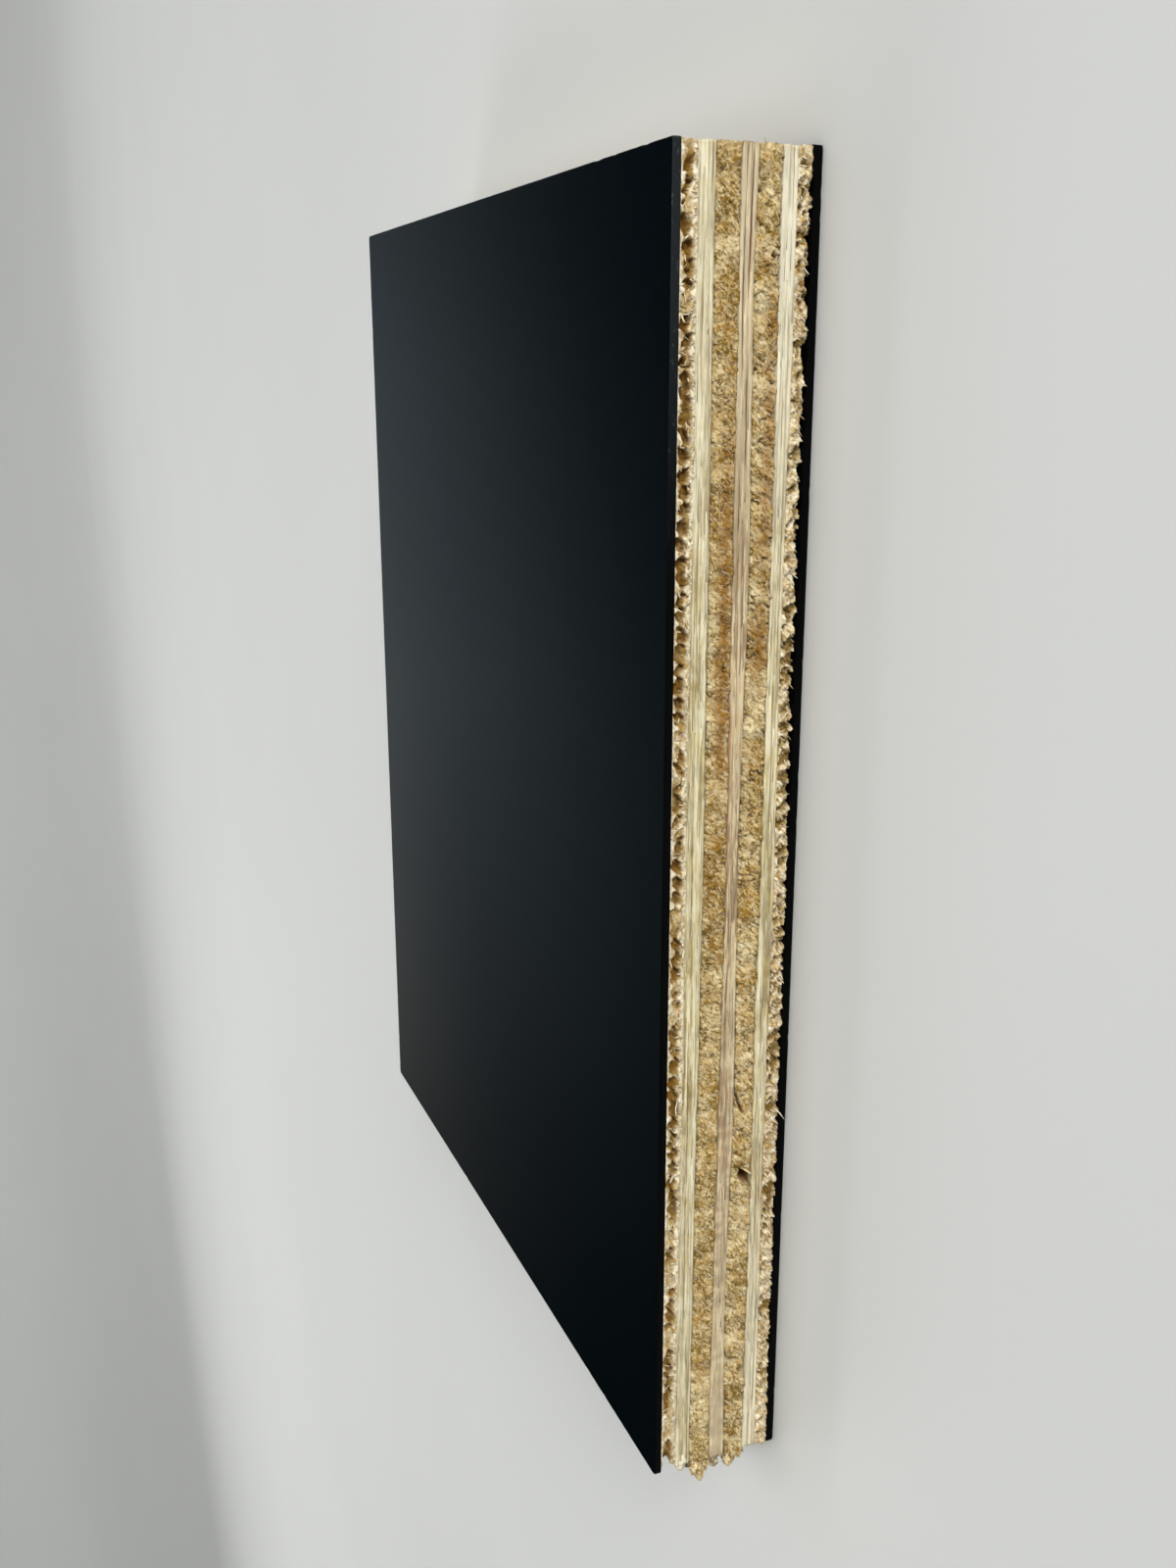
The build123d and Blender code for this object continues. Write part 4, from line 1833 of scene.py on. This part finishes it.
@dataclass
class Studio:
    """The camera at the photograph's angle, a plain pale floor and soft lights.

    The camera's place is in the frame's millimetres, its lens and sensor are a camera's usual ones,
    and the room's own sizes are metres. The room's colours are listed by height, from level with
    the floor to straight up, and by side, from -X to +X.
    """

    camera_place: tuple[float, float, float] = (59.190, -213.992, 88.920)
    view: tuple[float, float, float] = (-0.26803059, 0.89168160, -0.36477875)
    up: tuple[float, float, float] = (0.96341036, 0.24796166, -0.10176194)
    lens: float = 33.937
    sensor_width: float = 36.0
    inner_radius: float = 0.0005
    floor_drop: float = 0.00003
    flat_radius: float = 0.5
    floor_radius: float = 1.1
    cove_reach: float = 0.5
    cove_height: float = 0.19
    cove_steps: int = 12
    wall_height: float = 1.0
    wall_lean: float = 0.1
    around: int = 96
    floor_colour: str = "#CBCCC9"
    floor_dimmest: float = 0.95
    dim_band_slant: float = 0.185
    room_heights: tuple[tuple[float, str], ...] = (
        (0.0, "#C6C3BE"),
        (0.12, "#C6C3BE"),
        (0.19, "#6F7A80"),
        (0.25, "#6B757B"),
        (0.3, "#606A6F"),
        (0.33, "#525A5F"),
        (0.37, "#3A4144"),
        (0.4, "#282F32"),
        (0.43, "#171A1C"),
        (0.47, "#0A0C0D"),
        (0.7, "#222426"),
        (1.0, "#E6E8EA"),
    )
    room_sides: tuple[tuple[float, str], ...] = (
        (0.0, "#606060"),
        (0.19, "#1C1C1C"),
        (0.22, "#404040"),
        (0.26, "#767676"),
        (0.305, "#B0B0B0"),
        (0.4, "#FFFFFF"),
        (0.5, "#FFFFFF"),
        (0.55, "#E6E6E6"),
        (1.0, "#E6E6E6"),
    )
    paper: Material | None = None

    def camera(self) -> Object:
        """Sets up the camera.

        Returns:
            The camera.
        """
        data = bpy.data.cameras.new("photograph_camera")
        data.lens = self.lens
        data.sensor_width = self.sensor_width
        data.clip_start = 0.005
        data.clip_end = 50.0
        made = bpy.data.objects.new("photograph_camera", data)
        bpy.context.scene.collection.objects.link(made)
        back = -Vector(self.view).normalized()
        right = Vector(self.up).cross(back).normalized()
        up = back.cross(right)
        turn = Matrix((right, up, back)).transposed()
        made.matrix_world = Matrix.LocRotScale(Vector(self.camera_place) * MM, turn, None)
        bpy.context.scene.camera = made
        return made

    def floor(self) -> Object:
        """Lays a round floor that rises softly all round.

        Returns:
            The floor.
        """
        flat = (self.inner_radius, self.flat_radius, self.floor_radius)
        profile = [(radius, -self.floor_drop) for radius in flat]
        for i in range(1, self.cove_steps + 1):
            angle = math.radians(90.0 * i / self.cove_steps)
            radius = self.floor_radius + self.cove_reach * math.sin(angle)
            profile.append((radius, self.cove_height * (1.0 - math.cos(angle))))
        return self.turned("floor", profile)

    def wall(self) -> Object:
        """Stands a round wall on the floor's rim, so that no view shows a horizon.

        Returns:
            The wall.
        """
        radius = self.floor_radius + self.cove_reach
        profile = [(radius, self.cove_height), (radius + self.wall_lean, self.wall_height)]
        made = self.turned("wall", profile)
        # The black face reflects the dim room beyond it instead, and the room's own light comes in
        made.visible_glossy = False
        made.visible_diffuse = False
        return made

    def turned(self, name: str, profile: list[tuple[float, float]]) -> Object:
        """Turns a profile round the sheet's middle.

        Args:
            name: what the surface is.
            profile: radius and height of each point.

        Returns:
            The surface.
        """
        vertices = []
        for radius, height in profile:
            for i in range(self.around):
                angle = 2.0 * math.pi * i / self.around
                vertices.append((radius * math.cos(angle), radius * math.sin(angle), height))
        faces = [[int(i) for i in quad][::-1] for quad in wall_quads(len(profile), self.around)]
        mesh = bpy.data.meshes.new(name)
        mesh.from_pydata(vertices, [], faces)
        mesh.shade_smooth()
        mesh.materials.append(self.paper)
        made = bpy.data.objects.new(name, mesh)
        bpy.context.scene.collection.objects.link(made)
        return made

    def floor_material(self) -> Material:
        """Makes the floor's plain pale paper.

        Returns:
            The material.
        """
        made = bpy.data.materials.new("pale_paper_backdrop")
        made.use_nodes = True
        tree = made.node_tree
        tree.nodes.clear()
        place = add_node(tree, "ShaderNodeTexCoord").outputs["Object"]
        clouds = {"Scale": 9.0, "Detail": 2.0}
        soft = add_node(tree, "ShaderNodeTexNoise", clouds, {"Vector": place}).outputs["Fac"]
        brightest = linear(self.floor_colour)
        dim = tuple(self.floor_dimmest * part for part in brightest[:3])
        colour = add_node(
            tree,
            "ShaderNodeMix",
            {"data_type": "RGBA", "blend_type": "MIX", 6: (*dim, 1.0), 7: brightest},
            {0: soft},
        ).outputs[2]
        shader = add_node(
            tree,
            "ShaderNodeBsdfPrincipled",
            {"Roughness": 0.9, "Specular IOR Level": 0.2},
            {"Base Color": colour},
        ).outputs["BSDF"]
        add_node(tree, "ShaderNodeOutputMaterial", links={"Surface": shader})
        return made

    def world(self) -> None:
        """Fills the room with soft light: pale walls, darker towards -X, and a dim band above them."""
        world = bpy.data.worlds.new("soft_room")
        bpy.context.scene.world = world
        world.use_nodes = True
        tree = world.node_tree
        tree.nodes.clear()
        way = add_node(tree, "ShaderNodeTexCoord").outputs["Generated"]
        axes = add_node(tree, "ShaderNodeSeparateXYZ", links={"Vector": way})
        # The dim band begins a little lower towards +X
        slant = {"operation": "MULTIPLY_ADD", 1: self.dim_band_slant}
        leaning = add_node(tree, "ShaderNodeMath", slant, {0: axes.outputs["X"], 2: axes.outputs["Z"]})
        heights = add_node(tree, "ShaderNodeValToRGB", links={"Fac": leaning.outputs["Value"]})
        self.fill_ramp(heights, self.room_heights)
        across = add_node(
            tree, "ShaderNodeMapRange", {"From Min": -1.0, "From Max": 1.0}, {"Value": axes.outputs["X"]}
        ).outputs["Result"]
        sides = add_node(tree, "ShaderNodeValToRGB", links={"Fac": across})
        self.fill_ramp(sides, self.room_sides)
        light = add_node(
            tree,
            "ShaderNodeBackground",
            links={"Color": heights.outputs["Color"], "Strength": sides.outputs["Color"]},
        ).outputs["Background"]
        add_node(tree, "ShaderNodeOutputWorld", links={"Surface": light})

    def fill_ramp(self, ramp: bpy.types.Node, stops: tuple[tuple[float, str], ...]) -> None:
        """Sets a colour ramp's stops.

        Args:
            ramp: the ramp's node.
            stops: place and colour of each stop, from the first to the last.
        """
        elements = ramp.color_ramp.elements
        for element, (position, colour) in zip(elements, (stops[0], stops[-1])):
            element.position = position
            element.color = linear(colour)
        for position, colour in stops[1:-1]:
            elements.new(position).color = linear(colour)

    def build(self) -> None:
        """Builds the studio."""
        bpy.context.scene.view_settings.view_transform = "Standard"
        self.camera()
        self.paper = self.floor_material()
        self.floor()
        self.wall()
        self.world()
        # The lights would show as a haze and as streaks in the black face, which reflects the room alone
        for light in (
            AreaLight("overhead", (0.1, -0.2, 1.3), (0.0, 0.1, 0.0), (1.4, 1.4), 12.0),
            AreaLight("low_key", (0.8, -0.95, 0.3), (-0.03, -0.06, 0.01), (0.4, 0.3), 1.9, spread=70.0),
            AreaLight("far_fill", (-0.9, 0.8, 0.5), (0.0, 0.0, 0.01), (0.6, 0.5), 1.0, spread=70.0),
            AreaLight("backdrop", (0.0, 0.75, 0.9), (0.0, 1.2, 0.0), (0.9, 0.5), 4.6),
        ):
            light.build().visible_glossy = False


# Torn fibres of the outer cross veneers: broad straps between the pits, the lip over the long
# veneer below, and the pale rims of the scallops above the lower laminate
STRAPS = Splinters(
    per_metre=2600,
    length=(0.45, 1.1),
    width=(0.16, 0.32),
    outward=(0.0, 0.3),
    curl=0.45,
    shunned_recess_shade=0.45,
)
LIP = Splinters(
    per_metre=4200,
    length=(0.2, 0.5),
    width=(0.12, 0.26),
    outward=(0.0, 0.6),
    curl=0.4,
    band=(0.0, 0.16),
    pale=0.9,
)
RIM = Splinters(
    per_metre=3600,
    length=(0.4, 1.0),
    width=(0.11, 0.24),
    outward=(0.0, 0.3),
    curl=0.25,
    lay=48.0,
    scatter=24.0,
    band=(0.1, 0.97),
    pale=0.6,
    shunned_recess_shade=0.5,
)

# The slanted crumbs of the inner cross veneers, and the coarse fibres of the ragged end
CRUMBS = Splinters(
    per_metre=4600,
    length=(0.3, 0.8),
    width=(0.1, 0.2),
    outward=(0.0, 0.4),
    curl=0.35,
    lay=45.0,
    scatter=35.0,
    pale=0.35,
    shunned_recess_shade=0.7,
)
END_FIBRES = Splinters(
    per_metre=9000, length=(0.3, 0.8), width=(0.2, 0.5), outward=(0.1, 0.8), curl=0.5, pale=0.5, spill=0.3
)

# Thin slivers that lie along the long veneers
SLIVERS = Splinters(
    per_metre=1100,
    length=(2.0, 7.0),
    width=(0.08, 0.17),
    outward=(-0.012, 0.016),
    curl=0.02,
    scatter=1.2,
    band=(0.08, 0.92),
    pale=0.8,
    shunned_recess_shade=0.5,
)

# What the bites took from the seventh veneer's near edge: start, length and strength of each
BITES = (
    (79.5, 2.0, 0.35),
    (73.7, 3.1, 1.0),
    (70.5, 4.3, 1.0),
    (62.2, 4.3, 0.85),
    (57.6, 2.6, 0.75),
    (54.4, 2.4, 0.8),
    (51.6, 2.2, 0.9),
    (48.8, 3.2, 0.7),
    (44.2, 2.4, 0.45),
    (40.6, 2.8, 0.65),
    (36.4, 3.4, 0.75),
    (32.0, 3.0, 0.6),
    (27.4, 2.2, 0.55),
    (23.2, 3.6, 0.8),
    (17.8, 3.4, 0.75),
    (13.0, 4.2, 0.6),
    (6.2, 3.0, 0.6),
    (1.2, 3.4, 0.45),
    (-5.4, 4.2, 0.4),
    (-13.0, 4.0, 0.35),
    (-24.0, 3.0, 0.35),
    (-35.0, 4.0, 0.35),
    (-49.0, 4.5, 0.4),
    (-62.0, 4.0, 0.45),
)


# Veneer torn deep across its grain: cream bundles of fibre with olive-brown hollows between them, their brown
# deepened as painted shade
TORN_FIRST = PoplarVeneer(
    name="poplar_veneer_torn_1",
    grain=Grain.ALONG_Y,
    pale="#ECE1BA",
    middle="#BCA268",
    dark="#9E8040",
    warm="#BD923F",
    pit="#75500C",
    stain="#9A6A30",
    glue="#7A5B34",
    fibre="#EFE7D2",
    line_width=0.32,
)
TORN_SEVENTH = replace(
    TORN_FIRST, name="poplar_veneer_torn_7", middle="#D6BE86", dark="#A47F3C", pit="#705419"
)

# Veneer sawn across its grain: golden tan crumbs with fine dark cracks, their darkness painted shade
END_GRAIN_THIRD = PoplarVeneer(
    name="poplar_veneer_end_grain_3",
    grain=Grain.ALONG_Y,
    pale="#E0D0A4",
    middle="#BCA46F",
    dark="#806119",
    warm="#B5883B",
    pit="#543004",
    stain="#8C5C10",
    glue="#2E241A",
    fibre="#E2D3AE",
    line_width=0.26,
    warm_share=0.45,
    spread=0.17,
)
END_GRAIN_FIFTH = replace(
    END_GRAIN_THIRD, name="poplar_veneer_end_grain_5", pale="#E4D5AC", middle="#C8B17D"
)

# Veneer sawn along its grain, so cut smooth: greenish cream with fine grey and yellow streaks; its fibre
# colour also paints light towards both ends, and its pit colour paints shade in the grooves
LONG_GRAIN_SECOND = PoplarVeneer(
    name="poplar_veneer_long_grain_2",
    grain=Grain.ALONG_X,
    pale="#E4DCBC",
    middle="#CCC098",
    dark="#A08D62",
    warm="#D4C080",
    pit="#7C5E3C",
    stain="#B9A277",
    glue="#3A3022",
    fibre="#EDE7D2",
    line_width=0.16,
    line_length=14.0,
    tone_share=0.45,
    warm_share=0.4,
    spread=0.2,
)
LONG_GRAIN_SIXTH = replace(LONG_GRAIN_SECOND, name="poplar_veneer_long_grain_6")

# The same cut of a pinkish veneer, with purple-brown lines along its grain
PINK_LONG_GRAIN = replace(
    LONG_GRAIN_SECOND,
    name="poplar_veneer_pink_long_grain",
    pale="#D4C39F",
    middle="#A89172",
    dark="#947B5E",
    warm="#C4A677",
    pit="#4A2A20",
    stain="#9C6840",
    glue="#2E221C",
    fibre="#EBDDB8",
    warm_share=0.35,
    spread=0.15,
)

# Melamine resin cures smooth and hard against a matt press plate
PRESSED_LAMINATE = HighPressureLaminate(
    name="high_pressure_laminate_pressed",
    pale="#040A0D",
    dark="#02070A",
    roughness=0.14,
    roughness_range=0.02,
    grit=0.35,
    bump=0.12,
    bump_height=0.02,
    shine=0.3,
)

# The saw leaves the laminate's black paper core scratched, and the upper one is painted greyer towards its +X
# end as painted light, with scratches there
SAWN_LAMINATE = HighPressureLaminate(
    name="high_pressure_laminate_sawn",
    pale="#0A0A0B",
    dark="#010101",
    roughness=0.6,
    roughness_range=0.1,
    grit=0.2,
    bump=0.5,
    bump_height=0.04,
    shine=0.05,
    stretch=(1.0, 1.0, 2.2),
)
SAWN_LAMINATE_PAINTED_LIGHT = replace(SAWN_LAMINATE, name="high_pressure_laminate_sawn_painted_light", painted_light_grey="#26292B")


# The two ends of a long veneer, the only sides where its fibres end
LONG_TEAR = CrumblyTear(
    flake_length=0.7, flake_width=0.4, flake_height=0.2, crack_depth=0.3, crack_share=0.2
)

VENEERS = (
    # The lowest cross veneer, bitten back above the lower laminate, with a loose fibre
    TornVeneer(
        name="cross_veneer_7",
        grain=Grain.ALONG_Y,
        seed=77,
        slot="cross_veneer_wood",
        finish=TORN_SEVENTH,
        tear=RaggedTear(bites=BITES),
        row_step=0.12,
        splinters=(RIM,),
        stains=(Stain(-50.0, 34.0, 1.9, 1.5, 0.22), Stain(68.0, 6.0, 2.2, 0.5, 0.3)),
        strands=(
            Strand(points=((-31.9, -63.9, 1.7), (-32.6, -64.2, 1.0), (-33.6, -64.3, 0.35)), width=0.17),
        ),
    ),
    # The lower pale long veneer, with two faint grooves
    TornVeneer(
        name="long_veneer_6",
        grain=Grain.ALONG_X,
        seed=76,
        slot="long_veneer_wood",
        finish=LONG_GRAIN_SIXTH,
        tear=LONG_TEAR,
        combed=CombedGrain(
            grooves=(0.3, 0.55), groove_depth=0.08, groove_rest=0.3, groove_width=0.035, painted_light_at_ends=0.8
        ),
        row_step=0.085,
        slivers=(SLIVERS,),
    ),
    # The lower of the inner cross veneers, with a splinter in its open core gap
    TornVeneer(
        name="cross_veneer_5",
        grain=Grain.ALONG_Y,
        seed=75,
        slot="cross_veneer_wood",
        finish=END_GRAIN_FIFTH,
        tear=CrumblyTear(
            flake_length=1.15, flake_width=0.5, flake_height=0.34, crack_depth=0.55, crack_share=0.42
        ),
        splinters=(CRUMBS,),
        end_splinters=(END_FIBRES,),
        ragged_end=True,
        clumps=(
            Clump((-83.9, -62.9, 6.5), (1.9, 1.2, 1.15), 63),
            Clump((-83.2, -63.1, 5.2), (1.4, 1.1, 0.7), 64),
        ),
        stains=(
            Stain(50.0, 19.0, 5.4, 0.7, 0.75),
            Stain(28.0, 3.0, 5.6, 1.1, 0.8),
            # This one darkens the open core gap to red-brown: the wood's own colour there, deepened as
            # painted shade
            Stain(-41.2, 0.9, 5.4, 0.8, 1.0),
        ),
        hollows=(
            Hollow(-30.5, 6.6, 1.9, 0.22, 0.8, 20.0),
            Hollow(-68.5, 6.2, 0.9, 0.4, 1.1, 60.0),
            Hollow(-70.4, 5.3, 0.7, 0.35, 0.9, 20.0),
            Hollow(71.5, 5.3, 0.5, 0.35, 0.7, 50.0),
        ),
        gap=((-42.85, 4.2), (-41.45, 4.2), (-39.8, 6.35), (-41.25, 6.35)),
        strands=(
            Strand(
                points=((-39.5, -63.9, 6.2), (-39.9, -64.1, 5.6), (-40.4, -64.1, 5.05), (-40.9, -63.9, 4.5)),
                width=0.26,
            ),
        ),
    ),
    # The pinkish middle veneer, with three grooves that are deepest towards +X
    TornVeneer(
        name="long_veneer_4",
        grain=Grain.ALONG_X,
        seed=74,
        slot="middle_veneer_wood",
        finish=PINK_LONG_GRAIN,
        tear=LONG_TEAR,
        combed=CombedGrain(
            grooves=(0.34, 0.44, 0.68),
            groove_depth=0.16,
            groove_start=36.0,
            groove_rest=0.15,
            groove_width=0.05,
            painted_light_at_ends=0.65,
            calm=0.6,
        ),
        row_step=0.08,
        slivers=(SLIVERS,),
        end_splinters=(END_FIBRES,),
        clumps=(Clump((-83.9, -62.4, 8.6), (2.0, 1.0, 0.9), 66),),
        stains=(Stain(13.0, 12.0, 9.35, 0.22, 1.0), Stain(62.0, 20.0, 8.45, 0.3, 0.5)),
    ),
    # The upper of the inner cross veneers, with a long brown stain and a level crack
    TornVeneer(
        name="cross_veneer_3",
        grain=Grain.ALONG_Y,
        seed=73,
        slot="cross_veneer_wood",
        finish=END_GRAIN_THIRD,
        tear=CrumblyTear(
            flake_length=0.62, flake_width=0.36, flake_height=0.2, crack_depth=0.34, crack_share=0.35
        ),
        splinters=(CRUMBS,),
        end_splinters=(END_FIBRES,),
        ragged_end=True,
        clumps=(
            Clump((-84.2, -63.1, 11.1), (2.0, 1.3, 1.25), 61),
            Clump((-83.4, -63.0, 10.0), (1.4, 1.0, 0.6), 62),
        ),
        stains=(
            Stain(31.0, 23.0, 10.5, 0.95, 1.0),
            Stain(62.0, 12.0, 10.4, 0.7, 0.3),
            Stain(-2.0, 8.0, 11.4, 1.3, 0.35),
        ),
        hollows=(Hollow(25.6, 12.55, 2.6, 0.2, 0.7), Hollow(26.0, 10.3, 0.5, 0.3, 0.5)),
    ),
    # The upper pale long veneer, with two faint grooves and a crumb at one corner
    TornVeneer(
        name="long_veneer_2",
        grain=Grain.ALONG_X,
        seed=72,
        slot="long_veneer_wood",
        finish=LONG_GRAIN_SECOND,
        tear=LONG_TEAR,
        combed=CombedGrain(grooves=(0.2, 0.62), groove_depth=0.05, groove_rest=0.35, groove_width=0.03),
        row_step=0.085,
        slivers=(SLIVERS,),
        clumps=(Clump((-82.6, -63.0, 13.8), (1.7, 1.0, 0.9), 65, 0.75),),
        strands=(
            Strand(points=((-3.6, -63.8, 14.1), (-4.6, -64.0, 13.8), (-5.3, -63.75, 13.6)), width=0.1),
        ),
    ),
    # The uppermost cross veneer, deeply pitted, with a loose fibre
    TornVeneer(
        name="cross_veneer_1",
        grain=Grain.ALONG_Y,
        seed=71,
        slot="cross_veneer_wood",
        finish=TORN_FIRST,
        tear=PittedTear(),
        row_step=0.12,
        splinters=(STRAPS, LIP),
        strands=(
            Strand(
                points=(
                    (-27.8, -64.1, 15.6),
                    (-28.6, -64.9, 16.2),
                    (-29.6, -64.8, 16.1),
                    (-30.2, -63.9, 15.5),
                ),
                width=0.16,
            ),
        ),
    ),
)


@dataclass
class Sheet:
    """The whole sheet of nine layers, with how dark each glue line is from the lowest up.

    The glue lines wobble by millimetres. Each veneer gets those under and over it when it is built.
    """

    veneers: tuple[TornVeneer, ...] = VENEERS
    glue_seed: int = 100
    glue_wobble: float = 0.07
    glue_darkness: tuple[float, ...] = (0.15, 0.3, 0.8, 0.3, 0.85, 0.05)

    def build(self) -> list[Object]:
        """Builds every layer, the veneers from the lowest up and then the laminates.

        Returns:
            The nine pieces.
        """
        lines = self.glue_lines()
        pieces = []
        for veneer, lower, upper in zip(self.veneers, lines[:-1], lines[1:]):
            pieces.append(replace(veneer, lower=lower, upper=upper).build())
        return pieces + self.laminates()

    def glue_lines(self) -> list[GlueSurface]:
        """Reads the heights at which the layers meet.

        Returns:
            The surfaces under, between and over the veneers.
        """
        surfaces = [GlueSurface(None, CORE_BOTTOM, self.glue_seed, 0.0, 0.0)]
        for i, veneer in enumerate(self.veneers[:-1]):
            solid = PackedSolid(veneer.name)
            seed = self.glue_seed + 1 + i
            surfaces.append(GlueSurface(solid, 0.0, seed, self.glue_wobble, self.glue_darkness[i]))
        surfaces.append(GlueSurface(None, CORE_TOP, self.glue_seed + 10, 0.0, 0.0))
        return surfaces

    def laminates(self) -> list[Object]:
        """Builds the two laminates.

        Returns:
            The lower and the upper laminate.
        """
        face = PRESSED_LAMINATE.material()
        lower = LaminateSheet(
            name="laminate_bottom",
            slot="black_laminate",
            bottom=0.0,
            outer_up=False,
            seed=300,
            face_material=face,
            edge_material=SAWN_LAMINATE.material(),
        )
        upper = LaminateSheet(
            name="laminate_top",
            slot="black_laminate",
            bottom=CORE_TOP,
            outer_up=True,
            seed=310,
            face_material=face,
            edge_material=SAWN_LAMINATE_PAINTED_LIGHT.material(),
        )
        return [lower.build(), upper.build()]


def main() -> None:
    """Builds the studio and the sheet."""
    logging.basicConfig(level=logging.INFO, format="%(name)s: %(message)s")
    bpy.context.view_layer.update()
    Studio().build()
    Sheet().build()


if __name__ == "__main__":
    main()
